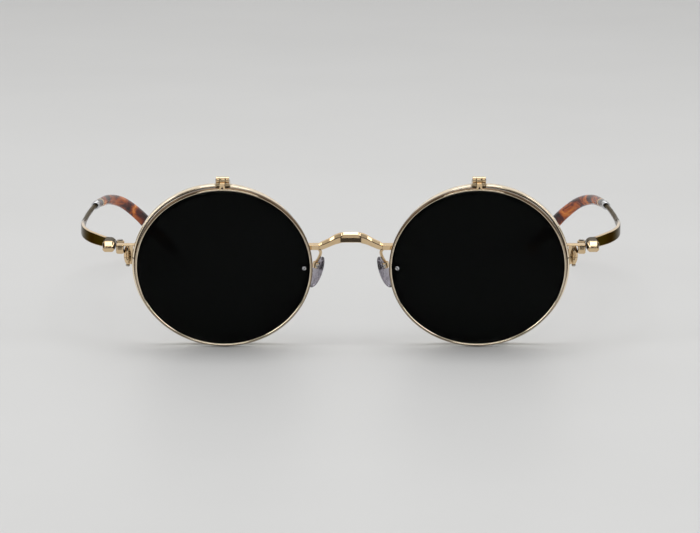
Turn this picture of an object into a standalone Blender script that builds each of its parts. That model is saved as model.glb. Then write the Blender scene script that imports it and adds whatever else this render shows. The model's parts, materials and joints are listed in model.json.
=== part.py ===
"""Round flip-up glasses in gold wire: a front with two clear lenses, two dark lenses that flip
up on small hinges at the top of its rims, and folding temples with acetate tips.
Metres, +Z up, the front faces -Y. Left and right are as seen from the front."""

import math

import bmesh
import bpy
from mathutils import Matrix, Vector
from mathutils.geometry import tessellate_polygon

SIDES = {"left": -1, "right": 1}

# Clearances
SEAT_GAP = 0.0002  # between pieces that are soldered, screwed or set together
RUN_GAP = 0.00005  # radial, between a pin or screw and its hole
SIDE_GAP = 0.00012  # between the knuckles of one hinge
CUT_OVERRUN = 0.001  # how far a cutter runs past what it cuts

# Counts of facets
RING_STEPS = 48
ROUND_STEPS = 16
WIRE_STEPS = 8
TIP_STEPS = 12

# Main lenses and their rims
LENS_WIDTH = 0.0470
LENS_HEIGHT = 0.0446
LENS_SPACING = 0.0708
LENS_THICKNESS = 0.0012
LENS_DOME = 0.0019
RIM_WALL = 0.0008
RIM_DEPTH = 0.0024

# Flip lenses and their rims; each stands a little nearer the nose than the main lens behind it
FLIP_SHORTER = 0.0006
FLIP_INSET = 0.0009
FLIP_RISE = 0.0005
FLIP_LENS_THICKNESS = 0.0010
FLIP_LENS_DOME = 0.0010
FLIP_RIM_WALL = 0.00085
FLIP_RIM_DEPTH = 0.0018
FLIP_STANDOFF = 0.0019

# What both kinds of lens and rim share
RIM_LAP = 0.0002
RIM_CHAMFER = 0.00022
GROOVE_SHARE = 0.66
LENS_BEVEL = 0.0006
LENS_RING_SHARES = (0.6,)

# Flip hinges
KNUCKLE_RADIUS = 0.00095
KNUCKLE_WIDTH = 0.0013
EAR_WIDTH = 0.0011
FLIP_PIN_RADIUS = 0.00042
FLIP_AXIS_RISE = 0.0018
FLIP_AXIS_FORWARD = 0.0010
BRACKET_FOOT = 0.0006
SADDLE_SPREAD = 0.0019
SADDLE_LEG = 0.0006
SADDLE_NOTCH = 0.0005
SADDLE_DEPTH = 0.0011

# Bumpers on the flip lenses
BUMPER_INSET = 0.0016
BUMPER_HEAD_RADIUS = 0.00065
BUMPER_HEAD_HEIGHT = 0.0005
BUMPER_SHANK_RADIUS = 0.00035
CUSHION_RADIUS = 0.00080

# Bridge and the blocks that carry it
BRIDGE_FOOT_RISE = 0.0051
BRIDGE_ARCH = 0.0026
BRIDGE_HEIGHT = 0.0028
BRIDGE_DEPTH = 0.0024
BLOCK_LENGTH = 0.00305
BLOCK_HEIGHT = 0.0014
BLOCK_DEPTH = 0.0022

# Nose pads, their arms and boxes
PAD_LENGTH = 0.0106
PAD_WIDTH = 0.0061
PAD_THICKNESS = 0.0014
PAD_DROP = 0.0012
PAD_STANDOFF = 0.00125
PAD_FRONTAL_ANGLE = math.radians(15)
PAD_SPLAY_ANGLE = math.radians(20)
PAD_AXIS_OUTSET = 0.0008
PAD_AXIS_BACK = 0.0058
PAD_AXIS_DROP = 0.0022
PAD_ARM_RADIUS = 0.00042
PAD_BOX_BACK = 0.0009
PAD_BOX_MOUTH = 0.0004
PAD_BOX_WIDTH = 0.0020
PAD_BOX_HEIGHT = 0.0016
PAD_BOX_WALL = 0.00045
PAD_SCREW_RADIUS = 0.0003
PAD_SCREW_HEAD_RADIUS = 0.00055
PAD_SCREW_HEAD = 0.00035
STEM_EYE_RADIUS = 0.0006
STEM_NECK = 0.0007
STEM_FOOT = 0.0030
STEM_FOOT_THICKNESS = 0.00045
STEM_BURY = 0.00045

# Endpieces and rim locks
ENDPIECE_RISE = 0.0058
ENDPIECE_BAR = 0.0006
ENDPIECE_BLOCK_HEIGHT = 0.0024
ENDPIECE_BLOCK_WIDTH = 0.0019
ENDPIECE_DEPTH = 0.0022
LOCK_SPLIT_RISE = 0.0022
LOCK_SLIT = 0.0003
LOCK_RADIUS = 0.00095
LOCK_NECK = 0.0010
LOCK_LOWER_HEIGHT = 0.0021
LOCK_SCREW_RADIUS = 0.00035
LOCK_SCREW_HEAD_RADIUS = 0.00062
LOCK_SCREW_HEAD = 0.00045

# Temple hinges
HINGE_RADIUS = 0.0011
HINGE_KNUCKLE = 0.0007
HINGE_SCREW_RADIUS = 0.00045
HINGE_SCREW_HEAD_RADIUS = 0.0009
HINGE_SCREW_HEAD = 0.00025
HINGE_PLATE = 0.0004
HINGE_PLATE_LENGTH = 0.0034
HINGE_OUTSET = 0.00085

# Temples
PANTOSCOPIC_ANGLE = math.radians(11)
TEMPLE_LENGTH = 0.1290
TEMPLE_BOW = 0.0116
TEMPLE_CURL = 0.0130
TIP_DROP = 0.0190
TEMPLE_BLOCK_THICKNESS = 0.0032
TEMPLE_BLOCK_HEIGHT = 0.0030
TEMPLE_BLOCK_FORWARD = 0.0042
TEMPLE_STRIP_THICKNESS = 0.0010
TEMPLE_STRIP_HEIGHT = 0.0034
TEMPLE_WIRE = 0.0013
FERRULE_LENGTH = 0.0085
FERRULE_RADIUS = 0.00125
FERRULE_BORE_GAP = 0.0001
TIP_THICKNESS = 0.0026
TIP_HEIGHT = 0.0028
TIP_PADDLE_HEIGHT = 0.0042

# Each row is a point of the temple's line: how far back it lies as a share of TEMPLE_LENGTH, how
# far it bows out as a share of TEMPLE_BOW, how far it curls in as a share of TEMPLE_CURL, and how
# far it drops as a share of TIP_DROP.
TEMPLE_LINE_SHARES = (
    (0.025, 0.03, 0.00, 0.00),
    (0.070, 0.29, 0.00, 0.00),
    (0.130, 0.58, 0.00, 0.00),
    (0.205, 0.80, 0.00, 0.00),
    (0.295, 0.92, 0.00, 0.00),
    (0.405, 0.98, 0.00, 0.00),
    (0.540, 1.00, 0.00, 0.00),
    (0.660, 1.00, 0.02, 0.00),
    (0.735, 1.00, 0.10, 0.00),
    (0.800, 1.00, 0.25, 0.01),
    (0.860, 1.00, 0.51, 0.11),
    (0.910, 1.00, 0.84, 0.34),
    (0.955, 1.00, 1.20, 0.66),
    (1.000, 1.00, 1.58, 1.00),
)
# Where along the reach the strip is widest and where it has narrowed to plain wire
STRIP_START_SHARE = 0.045
STRIP_END_SHARE = 0.24
WIRE_START_SHARE = 0.42
FERRULE_START_SHARE = 0.665
CORE_END_SHARE = 0.94

# Half of the bridge's line, from its foot to its middle: place along the half span, rise as a
# share of the arch, and section size as a share of the full section
BRIDGE_SHARES = (
    (1.00, 0.00, 0.52),
    (0.90, 0.12, 0.74),
    (0.82, 0.22, 0.78),
    (0.65, 0.49, 0.82),
    (0.50, 0.76, 0.90),
    (0.34, 0.94, 0.97),
    (0.16, 1.00, 1.00),
)


def material(name, colour, metallic, roughness, alpha=1.0):
    """A finish: its colour, how metallic and how rough it is."""
    made = bpy.data.materials.new(name)
    made.use_nodes = True
    shader = made.node_tree.nodes["Principled BSDF"]
    shader.inputs["Base Color"].default_value = (*colour, 1.0)
    shader.inputs["Metallic"].default_value = metallic
    shader.inputs["Roughness"].default_value = roughness
    shader.inputs["Alpha"].default_value = alpha
    return made


def empty(name, parent, location=(0, 0, 0), rotation=(0, 0, 0)):
    """An axis or a frame that pieces are placed in."""
    made = bpy.data.objects.new(name, None)
    bpy.context.scene.collection.objects.link(made)
    made.parent = parent
    made.location = location
    made.rotation_euler = rotation
    return made


def piece(name, mesh, finish, parent, location=(0, 0, 0)):
    """Turns a finished bmesh, drawn in its parent's frame, into an object with its origin there."""
    bmesh.ops.translate(mesh, vec=-Vector(location), verts=mesh.verts)
    bmesh.ops.recalc_face_normals(mesh, faces=mesh.faces)
    data = bpy.data.meshes.new(name)
    mesh.to_mesh(data)
    mesh.free()
    data.shade_smooth()
    data.set_sharp_from_angle(angle=math.radians(35))
    data.materials.append(finish)
    made = bpy.data.objects.new(name, data)
    bpy.context.scene.collection.objects.link(made)
    made.parent = parent
    made.location = location
    return made


def combine(target, name, mesh, operation):
    """Works a helper shape, drawn in the target's parent's frame, into the target."""
    cutter = piece(name, mesh, target.data.materials[0], target.parent)
    cutter.hide_render = True
    cutter.display_type = "WIRE"
    boolean = target.modifiers.new(name, "BOOLEAN")
    boolean.operation = operation
    boolean.solver = "EXACT"
    boolean.object = cutter


def cut(target, name, mesh):
    """Takes a shape out of the target."""
    combine(target, name, mesh, "DIFFERENCE")


def soften(target, width):
    """Breaks the sharp edges of a small block."""
    bevel = target.modifiers.new("broken_edges", "BEVEL")
    bevel.width = width
    bevel.segments = 1
    bevel.limit_method = "ANGLE"
    bevel.angle_limit = math.radians(40)


def skin(mesh, loops, closed=False):
    """Quads between each loop of vertices and the next one."""
    pairs = list(zip(loops, loops[1:]))
    if closed:
        pairs.append((loops[-1], loops[0]))
    for first, second in pairs:
        for i in range(len(first)):
            j = (i + 1) % len(first)
            mesh.faces.new((first[i], first[j], second[j], second[i]))


def circle(radius, steps, centre=(0.0, 0.0)):
    """The points of a circle in a plane."""
    turns = [math.tau * i / steps for i in range(steps)]
    return [(centre[0] + radius * math.cos(a), centre[1] + radius * math.sin(a)) for a in turns]


def arc(radius, start, end, steps, centre=(0.0, 0.0)):
    """The points of an arc in a plane, both ends included; the angles are in degrees."""
    turns = [math.radians(start + (end - start) * i / steps) for i in range(steps + 1)]
    return [(centre[0] + radius * math.cos(a), centre[1] + radius * math.sin(a)) for a in turns]


def hole_radius(shaft_radius):
    """A faceted hole's corner radius, so that a shaft of this radius turns in it."""
    return (shaft_radius + RUN_GAP) / math.cos(math.pi / ROUND_STEPS)


def prism(outline, holes, low, high, axis, side=1, mesh=None):
    """A plate with this outline and these holes, between two heights along an axis."""
    mesh = mesh or bmesh.new()

    def place(point, height):
        spots = {"x": (height, *point), "y": (point[0], height, point[1]), "z": (*point, height)}
        x, y, z = spots[axis]
        return Vector((side * x, y, z))

    loops = [list(outline), *[list(hole) for hole in holes]]
    levels = [[mesh.verts.new(place(p, h)) for loop in loops for p in loop] for h in (low, high)]
    flat = [[Vector((*point, 0)) for point in loop] for loop in loops]
    for triangle in tessellate_polygon(flat):
        mesh.faces.new([levels[0][i] for i in triangle])
        mesh.faces.new([levels[1][i] for i in reversed(triangle)])
    start = 0
    for loop in loops:
        count = len(loop)
        skin(mesh, [level[start : start + count] for level in levels])
        start += count
    return mesh


def turned(profile, steps, axis, centre, side=1, mesh=None):
    """A turned pin or screw: its profile is (distance along the axis, radius), closed at both ends."""
    mesh = mesh or bmesh.new()
    loops = []
    for along, radius in profile:
        loop = []
        for a, b in circle(radius, steps):
            spots = {"x": (along, a, b), "y": (a, along, b), "z": (a, b, along)}
            x, y, z = spots[axis]
            loop.append(mesh.verts.new((side * (centre[0] + x), centre[1] + y, centre[2] + z)))
        loops.append(loop)
    skin(mesh, loops)
    mesh.faces.new(loops[0])
    mesh.faces.new(loops[-1])
    return mesh


def on_ellipse(half_width, half_height, angle, outward):
    """A point this far outside an ellipse in the plane of the front."""
    spot = Vector((half_width * math.cos(angle), 0, half_height * math.sin(angle)))
    normal = Vector((half_height * math.cos(angle), 0, half_width * math.sin(angle)))
    return spot + normal.normalized() * outward


def rim_section(wall, depth):
    """A rim wire's section, as (distance outside the lens edge, place front to back): chamfered
    outside, with a groove inside for the lens's bevelled edge."""
    inner = -RIM_LAP
    outer = inner + wall
    half = depth / 2
    groove = half * GROOVE_SHARE
    return [
        (inner, -half),
        (outer - RIM_CHAMFER, -half),
        (outer, -half + RIM_CHAMFER),
        (outer, half - RIM_CHAMFER),
        (outer - RIM_CHAMFER, half),
        (inner, half),
        (inner, groove),
        (SEAT_GAP, 0),
        (inner, -groove),
    ]


def rim(name, half_width, half_height, section, finish, parent, centre, side, slit=None):
    """A rim of grooved wire round a lens, closed, or with a slit at an angle and this wide."""
    mesh = bmesh.new()
    if slit:
        at, width = slit
        start = at + width / (2 * half_width)
        span = math.tau - width / half_width
        angles = [start + span * i / RING_STEPS for i in range(RING_STEPS + 1)]
    else:
        angles = [math.tau * i / RING_STEPS for i in range(RING_STEPS)]
    loops = []
    for angle in angles:
        loop = []
        for outward, back in section:
            spot = on_ellipse(half_width, half_height, angle, outward)
            loop.append(mesh.verts.new((side * spot.x + centre[0], centre[1] + back, spot.z + centre[2])))
        loops.append(loop)
    skin(mesh, loops, closed=not slit)
    if slit:
        mesh.faces.new(loops[0])
        mesh.faces.new(loops[-1])
    return piece(name, mesh, finish, parent, centre)


def lens(name, half_width, half_height, thickness, dome, finish, parent, centre):
    """A lens that stands forward at its middle, with a bevel all round that sits in the groove."""
    mesh = bmesh.new()
    origin = Vector(centre)

    def loop(share, inset, back):
        made = []
        for i in range(RING_STEPS):
            spot = on_ellipse(half_width * share, half_height * share, math.tau * i / RING_STEPS, -inset)
            made.append(mesh.verts.new(origin + spot + Vector((0, back, 0))))
        return made

    half = thickness / 2
    front = [loop(s, 0, -half - dome * (1 - s * s)) for s in LENS_RING_SHARES]
    back = [loop(s, 0, half - dome * (1 - s * s)) for s in LENS_RING_SHARES]
    edge = [loop(1, LENS_BEVEL, -half), loop(1, 0, 0), loop(1, LENS_BEVEL, half)]
    skin(mesh, [*front, *edge, *reversed(back)])
    for middle_loop, place in ((front[0], -half - dome), (back[0], half - dome)):
        middle = mesh.verts.new(origin + Vector((0, place, 0)))
        for i in range(RING_STEPS):
            mesh.faces.new((middle_loop[i], middle_loop[(i + 1) % RING_STEPS], middle))
    return piece(name, mesh, finish, parent, centre)


# Places that several pieces share, in the front's own frame: its origin lies midway between the
# main lens centres, in the middle of the main rims
RIM_OUTER = RIM_WALL - RIM_LAP
FLIP_RIM_OUTER = FLIP_RIM_WALL - RIM_LAP
MAIN_X = LENS_SPACING / 2
FLIP_X = MAIN_X - FLIP_INSET
MAIN_HALF = (LENS_WIDTH / 2, LENS_HEIGHT / 2)
FLIP_HALF = (MAIN_HALF[0], MAIN_HALF[1] - FLIP_SHORTER / 2)
FLIP_Y = -(RIM_DEPTH / 2 + FLIP_STANDOFF + FLIP_RIM_DEPTH / 2)
RIM_TOP = MAIN_HALF[1] + RIM_OUTER
FLIP_RIM_TOP = FLIP_HALF[1] + FLIP_RIM_OUTER + FLIP_RISE
FLIP_AXIS = Vector((FLIP_X, -RIM_DEPTH / 2 - FLIP_AXIS_FORWARD, RIM_TOP + FLIP_AXIS_RISE))


def rim_edge_x(rise, towards):
    """Where the main rim's outer edge lies at this height, towards the temple (+1) or nose (-1)."""
    half_width = MAIN_HALF[0] + RIM_OUTER
    return MAIN_X + towards * half_width * math.sqrt(1 - (rise / RIM_TOP) ** 2)


BRIDGE_END_X = rim_edge_x(BRIDGE_FOOT_RISE, -1) - SEAT_GAP - BLOCK_LENGTH
PAD_AXIS = Vector((BRIDGE_END_X + PAD_AXIS_OUTSET, PAD_AXIS_BACK, -PAD_AXIS_DROP))
RIM_SIDE_X = MAIN_X + MAIN_HALF[0] + RIM_OUTER
LOCK_X = RIM_SIDE_X + SEAT_GAP + LOCK_NECK
ENDPIECE_BLOCK_X = LOCK_X + LOCK_RADIUS + SEAT_GAP
ENDPIECE_END_X = ENDPIECE_BLOCK_X + ENDPIECE_BLOCK_WIDTH
HINGE_HALF_HEIGHT = HINGE_KNUCKLE * 1.5 + SIDE_GAP
HINGE_SWING_RADIUS = HINGE_RADIUS + SIDE_GAP
HINGE_TILT_ROOM = HINGE_HALF_HEIGHT * math.sin(PANTOSCOPIC_ANGLE)
HINGE_BACK = SEAT_GAP + HINGE_TILT_ROOM + HINGE_PLATE + HINGE_SWING_RADIUS
HINGE_AXIS = Vector(
    (
        ENDPIECE_END_X - HINGE_OUTSET,
        ENDPIECE_DEPTH / 2 + HINGE_BACK,
        ENDPIECE_RISE - ENDPIECE_BLOCK_HEIGHT / 2,
    )
)

# The temple block's inner face, measured out from the hinge axis, and where the ferrule ends
TEMPLE_BLOCK_INNER = HINGE_RADIUS + SEAT_GAP
CORE_BORE = TEMPLE_WIRE / 2 + FERRULE_BORE_GAP
FERRULE_END_SHARE = FERRULE_START_SHARE + FERRULE_LENGTH / TEMPLE_LENGTH


def hinge_bracket(side, parent, finish):
    """The bracket on top of a main rim: a foot on the rim and two ears that hold the flip pin."""
    axis_y, axis_z = FLIP_AXIS.y, FLIP_AXIS.z
    foot_low = RIM_TOP + SEAT_GAP
    foot_high = foot_low + BRACKET_FOOT
    half_width = KNUCKLE_WIDTH / 2 + SIDE_GAP + EAR_WIDTH
    outline = arc(KNUCKLE_RADIUS, 40, 250, 10, (axis_y, axis_z))
    outline += [(axis_y + KNUCKLE_RADIUS / 2, foot_low), (RIM_DEPTH / 3, foot_low)]
    outline += [(RIM_DEPTH / 3, foot_high)]
    hole = circle(hole_radius(FLIP_PIN_RADIUS), ROUND_STEPS, (axis_y, axis_z))
    centre = side * FLIP_X
    mesh = prism(outline, [hole], centre - half_width, centre + half_width, "x")
    name = "left" if side < 0 else "right"
    made = piece(f"flip_hinge_bracket_{name}", mesh, finish, parent, (centre, axis_y, axis_z))
    room = KNUCKLE_WIDTH / 2 + SIDE_GAP
    slot = turned(
        [(-room, KNUCKLE_RADIUS + SIDE_GAP * 2), (room, KNUCKLE_RADIUS + SIDE_GAP * 2)],
        ROUND_STEPS * 2,
        "x",
        (centre, axis_y, axis_z),
    )
    cut(made, f"flip_hinge_slot_{name}", slot)
    return made


def flip_saddle(name, side, parent, finish):
    """The flip rim's own knuckle, with two spread legs that stand on top of the rim."""
    axis_y, axis_z = FLIP_AXIS.y, FLIP_AXIS.z
    centre = side * FLIP_X
    foot = FLIP_RIM_TOP + SEAT_GAP
    leg_front = FLIP_Y - SADDLE_DEPTH / 2
    leg_back = FLIP_Y + SADDLE_DEPTH / 2
    tongue = foot + SADDLE_NOTCH
    outline = arc(KNUCKLE_RADIUS, -75, 190, 12, (axis_y, axis_z))
    outline += [(leg_front, tongue + SADDLE_LEG), (leg_front, tongue), (leg_back, tongue)]
    hole = circle(hole_radius(FLIP_PIN_RADIUS), ROUND_STEPS, (axis_y, axis_z))
    half = KNUCKLE_WIDTH / 2
    mesh = prism(outline, [hole], centre - half, centre + half, "x")
    made = piece(name, mesh, finish, parent, (centre, axis_y, axis_z))
    spread = SADDLE_SPREAD / 2
    legs = [
        (centre - half * 0.9, tongue + SADDLE_LEG * 0.9),
        (centre - spread, foot),
        (centre - spread + SADDLE_LEG, foot),
        (centre, tongue),
        (centre + spread - SADDLE_LEG, foot),
        (centre + spread, foot),
        (centre + half * 0.9, tongue + SADDLE_LEG * 0.9),
    ]
    wishbone = prism(legs, [], leg_front + SADDLE_LEG * 0.1, leg_back, "y")
    combine(made, f"{name}_legs", wishbone, "UNION")
    return made


def flip_pin(name, side, parent, finish):
    """The pin that the flip swings on, held in the bracket's ears."""
    half = KNUCKLE_WIDTH / 2 + SIDE_GAP + EAR_WIDTH
    dome = FLIP_PIN_RADIUS / 2
    profile = [
        (-half - dome, FLIP_PIN_RADIUS * 0.5),
        (-half, FLIP_PIN_RADIUS),
        (half, FLIP_PIN_RADIUS),
        (half + dome, FLIP_PIN_RADIUS * 0.5),
    ]
    centre = (side * FLIP_X, FLIP_AXIS.y, FLIP_AXIS.z)
    return piece(name, turned(profile, ROUND_STEPS, "x", centre), finish, parent, centre)


def bumper(side, flip_lens, parent, peg_finish, cushion_finish):
    """A small headed peg through the flip lens near the nose, with a soft cushion behind it that
    keeps the flip off the main rim."""
    name = "left" if side < 0 else "right"
    x = side * (FLIP_X - FLIP_HALF[0] + BUMPER_INSET)
    share = 1 - BUMPER_INSET / FLIP_HALF[0]
    middle = FLIP_Y - FLIP_LENS_DOME * (1 - share * share)
    front = middle - FLIP_LENS_THICKNESS / 2 - SEAT_GAP
    back = middle + FLIP_LENS_THICKNESS / 2 + SEAT_GAP
    cushion_back = -RIM_DEPTH / 2 - SEAT_GAP * 2
    shank_back = (back + cushion_back) / 2
    centre = (x, 0, FLIP_RISE)
    room = BUMPER_SHANK_RADIUS + SEAT_GAP
    hole = turned([(front - CUT_OVERRUN, room), (cushion_back, room)], ROUND_STEPS, "y", centre)
    cut(flip_lens, f"bumper_hole_{name}", hole)
    peg = [
        (front - BUMPER_HEAD_HEIGHT, BUMPER_HEAD_RADIUS * 0.45),
        (front - BUMPER_HEAD_HEIGHT * 0.6, BUMPER_HEAD_RADIUS * 0.85),
        (front, BUMPER_HEAD_RADIUS),
        (front, BUMPER_SHANK_RADIUS),
        (shank_back, BUMPER_SHANK_RADIUS),
    ]
    piece(f"bumper_peg_{name}", turned(peg, ROUND_STEPS, "y", centre), peg_finish, parent, centre)
    bore = BUMPER_SHANK_RADIUS + RUN_GAP * 2
    cushion = [
        (shank_back + SEAT_GAP, bore),
        (back, bore),
        (back, CUSHION_RADIUS),
        (cushion_back - CUSHION_RADIUS * 0.3, CUSHION_RADIUS),
        (cushion_back, CUSHION_RADIUS * 0.6),
    ]
    piece(
        f"bumper_cushion_{name}",
        turned(cushion, ROUND_STEPS, "y", centre),
        cushion_finish,
        parent,
        centre,
    )


def chamfered_box(width, height, share=0.28):
    """An eight-cornered section: a rectangle with its corners cut off."""
    nip = min(width, height) * share
    a, b = width / 2, height / 2
    return [
        (a, -b + nip),
        (a, b - nip),
        (a - nip, b),
        (-a + nip, b),
        (-a, b - nip),
        (-a, -b + nip),
        (-a + nip, -b),
        (a - nip, -b),
    ]


def along(frames, sections, mesh, closed_ends=True):
    """Draws sections of (across, up) points on the frames of a line and skins them."""
    loops = []
    for frame, section in zip(frames, sections):
        loops.append([mesh.verts.new(frame @ Vector((across, 0, up))) for across, up in section])
    skin(mesh, loops)
    if closed_ends:
        mesh.faces.new(loops[0])
        mesh.faces.new(loops[-1])
    return loops


def smooth_line(points, steps):
    """A smooth curve through the points, with this many steps between each two."""
    ends = [2 * points[0] - points[1], *points, 2 * points[-1] - points[-2]]
    line = []
    for i in range(1, len(ends) - 2):
        before, here, after, beyond = ends[i - 1 : i + 3]
        for k in range(steps):
            t = k / steps
            line.append(
                here
                + (after - before) * (t / 2)
                + (2 * before - 5 * here + 4 * after - beyond) * (t * t / 2)
                + (3 * here - 3 * after + beyond - before) * (t * t * t / 2)
            )
    line.append(points[-1])
    return line


def line_frames(line):
    """A frame at each point of a line: Y along it, X level and square to it, Z square to both."""
    frames = []
    for i, spot in enumerate(line):
        ahead = (line[min(i + 1, len(line) - 1)] - line[max(i - 1, 0)]).normalized()
        across = ahead.cross(Vector((0, 0, 1))).normalized()
        up = across.cross(ahead)
        frames.append(Matrix.LocRotScale(spot, Matrix((across, ahead, up)).transposed(), None))
    return frames


def bridge(parent, finish):
    """The saddle bridge: a faceted bar that arches between the two blocks."""
    half_span = BRIDGE_END_X - SEAT_GAP
    rows = [(-x, rise, size) for x, rise, size in BRIDGE_SHARES]
    rows += [(0.0, 1.0, 1.0)]
    rows += [(x, rise, size) for x, rise, size in reversed(BRIDGE_SHARES)]
    line = [Vector((x * half_span, 0, BRIDGE_FOOT_RISE + rise * BRIDGE_ARCH)) for x, rise, _ in rows]
    mesh = bmesh.new()
    loops = []
    for spot, (_, _, size) in zip(line, rows):
        section = chamfered_box(BRIDGE_DEPTH * (1 + size) / 2, BRIDGE_HEIGHT * size, 0.32)
        loops.append([mesh.verts.new(spot + Vector((0, back, up))) for back, up in section])
    skin(mesh, loops)
    mesh.faces.new(loops[0])
    mesh.faces.new(loops[-1])
    return piece("bridge", mesh, finish, parent, (0, 0, BRIDGE_FOOT_RISE))


def bridge_block(name, side, parent, finish):
    """The block that joins the bridge's foot to the nose side of a main rim."""
    low = BRIDGE_FOOT_RISE - BLOCK_HEIGHT / 2
    high = BRIDGE_FOOT_RISE + BLOCK_HEIGHT / 2
    outline = [
        (BRIDGE_END_X, low),
        (rim_edge_x(low, -1) - SEAT_GAP, low),
        (rim_edge_x(high, -1) - SEAT_GAP, high),
        (BRIDGE_END_X, high),
    ]
    mesh = prism(outline, [], -BLOCK_DEPTH / 2, BLOCK_DEPTH / 2, "y", side)
    made = piece(name, mesh, finish, parent, (side * BRIDGE_END_X, 0, BRIDGE_FOOT_RISE))
    soften(made, BLOCK_HEIGHT * 0.12)
    return made


def pad_frame(side):
    """The nose pad's own frame: X away from the nose, Y along its screw, Z up its length."""
    turn = Matrix.Rotation(-side * PAD_SPLAY_ANGLE, 4, "Z") @ Matrix.Rotation(
        -side * PAD_FRONTAL_ANGLE, 4, "Y"
    )
    return Matrix.Translation((side * PAD_AXIS.x, PAD_AXIS.y, PAD_AXIS.z)) @ turn


def pad_arm(name, side, parent, finish):
    """The bent wire from the back of the bridge block to the top of the pad box."""
    start = Vector((BRIDGE_END_X + BLOCK_HEIGHT, BLOCK_DEPTH / 2 + SEAT_GAP, BRIDGE_FOOT_RISE))
    box_top = Vector((PAD_AXIS.x, PAD_AXIS.y, PAD_AXIS.z + PAD_BOX_HEIGHT / 2))
    reach = box_top - start
    bulge = PAD_BOX_WIDTH
    points = [
        start,
        start + Vector((-bulge * 0.10, reach.y * 0.20, reach.z * 0.06)),
        start + Vector((-bulge * 0.50, reach.y * 0.42, reach.z * 0.22)),
        start + Vector((-bulge * 0.90, reach.y * 0.62, reach.z * 0.45)),
        start + Vector((-bulge * 0.65, reach.y * 0.86, reach.z * 0.78)),
        box_top + Vector((0, 0, SEAT_GAP + PAD_ARM_RADIUS * 0.7)),
    ]
    line = [Vector((side * p.x, p.y, p.z)) for p in smooth_line(points, 3)]
    mesh = bmesh.new()
    frames = tube_frames(line)
    along(frames, [circle(PAD_ARM_RADIUS, WIRE_STEPS)] * len(frames), mesh)
    return piece(name, mesh, finish, parent, line[0])


def tube_frames(line):
    """Frames along a line for a round wire, each turned as little as possible from the last."""
    frames = []
    across = None
    for i, spot in enumerate(line):
        ahead = (line[min(i + 1, len(line) - 1)] - line[max(i - 1, 0)]).normalized()
        if across is None:
            across = ahead.cross(Vector((0, 0, 1))).normalized()
        across = (across - ahead * across.dot(ahead)).normalized()
        up = across.cross(ahead)
        frames.append(Matrix.LocRotScale(spot, Matrix((across, ahead, up)).transposed(), None))
    return frames


def pad_box(name, side, parent, finish):
    """A small open box at the end of the pad arm; the pad's stem sits between its two cheeks."""
    room = PAD_BOX_WIDTH / 2 - PAD_BOX_WALL
    half = PAD_BOX_WIDTH / 2
    web = PAD_BOX_BACK - PAD_BOX_WALL / 2
    outline = [
        (-PAD_BOX_MOUTH, -half),
        (PAD_BOX_BACK, -half),
        (PAD_BOX_BACK, half),
        (-PAD_BOX_MOUTH, half),
        (-PAD_BOX_MOUTH, room),
        (web, room),
        (web, -room),
        (-PAD_BOX_MOUTH, -room),
    ]
    mesh = prism(outline, [], -PAD_BOX_HEIGHT / 2, PAD_BOX_HEIGHT / 2, "z", side)
    made = piece(name, mesh, finish, parent)
    radius = hole_radius(PAD_SCREW_RADIUS)
    ends = PAD_BOX_WIDTH
    cut(made, f"{name}_hole", turned([(-ends, radius), (ends, radius)], ROUND_STEPS, "y", (0, 0, 0)))
    return made


def pad_screw(name, parent, finish):
    """The screw through the box and the stem, on which the pad rocks."""
    half = PAD_BOX_WIDTH / 2
    head = half + SEAT_GAP / 2
    profile = [
        (-head - PAD_SCREW_HEAD, PAD_SCREW_HEAD_RADIUS * 0.7),
        (-head - PAD_SCREW_HEAD * 0.5, PAD_SCREW_HEAD_RADIUS),
        (-head, PAD_SCREW_HEAD_RADIUS),
        (-head, PAD_SCREW_RADIUS),
        (head, PAD_SCREW_RADIUS),
    ]
    return piece(name, turned(profile, ROUND_STEPS, "y", (0, 0, 0)), finish, parent)


def stem_outline(margin):
    """The stem seen along its screw: an eye, a neck and a foot, grown by a margin."""
    foot_outer = PAD_STANDOFF - PAD_THICKNESS / 2 + STEM_BURY - margin
    foot_inner = foot_outer + STEM_FOOT_THICKNESS + 2 * margin
    neck = STEM_NECK / 2 + margin
    foot = STEM_FOOT / 2 + margin
    eye = STEM_EYE_RADIUS
    spread = math.degrees(math.asin(neck / eye)) if neck < eye else 89
    outline = arc(eye, -180 + spread, 180 - spread, 12)
    outline += [(-foot_outer, neck), (-foot_outer, foot), (-foot_inner, foot)]
    outline += [(-foot_inner, -foot), (-foot_outer, -foot), (-foot_outer, -neck)]
    return outline


def pad_stem(name, side, parent, finish):
    """The metal stem moulded into the pad; its eye turns on the screw in the box."""
    half = PAD_BOX_WIDTH / 2 - PAD_BOX_WALL - SIDE_GAP
    hole = circle(hole_radius(PAD_SCREW_RADIUS), ROUND_STEPS)
    return piece(name, prism(stem_outline(0), [hole], -half, half, "y", side), finish, parent)


def nose_pad(name, side, parent, finish):
    """The soft pad: an oval, domed to the nose, with a pocket for the stem's foot."""
    mesh = bmesh.new()
    bmesh.ops.create_uvsphere(mesh, u_segments=18, v_segments=9, radius=1.0)
    for vertex in mesh.verts:
        x, y, z = vertex.co
        taper = 1 - 0.14 * z
        vertex.co = Vector(
            (
                side * (x * PAD_THICKNESS / 2 - PAD_STANDOFF),
                y * taper * PAD_WIDTH / 2,
                z * PAD_LENGTH / 2 - PAD_DROP,
            )
        )
    made = piece(name, mesh, finish, parent)
    half = PAD_BOX_WIDTH / 2 - PAD_BOX_WALL - SIDE_GAP + SEAT_GAP
    cut(made, f"{name}_pocket", prism(stem_outline(SEAT_GAP), [], -half, half, "y", side))
    return made


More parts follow.
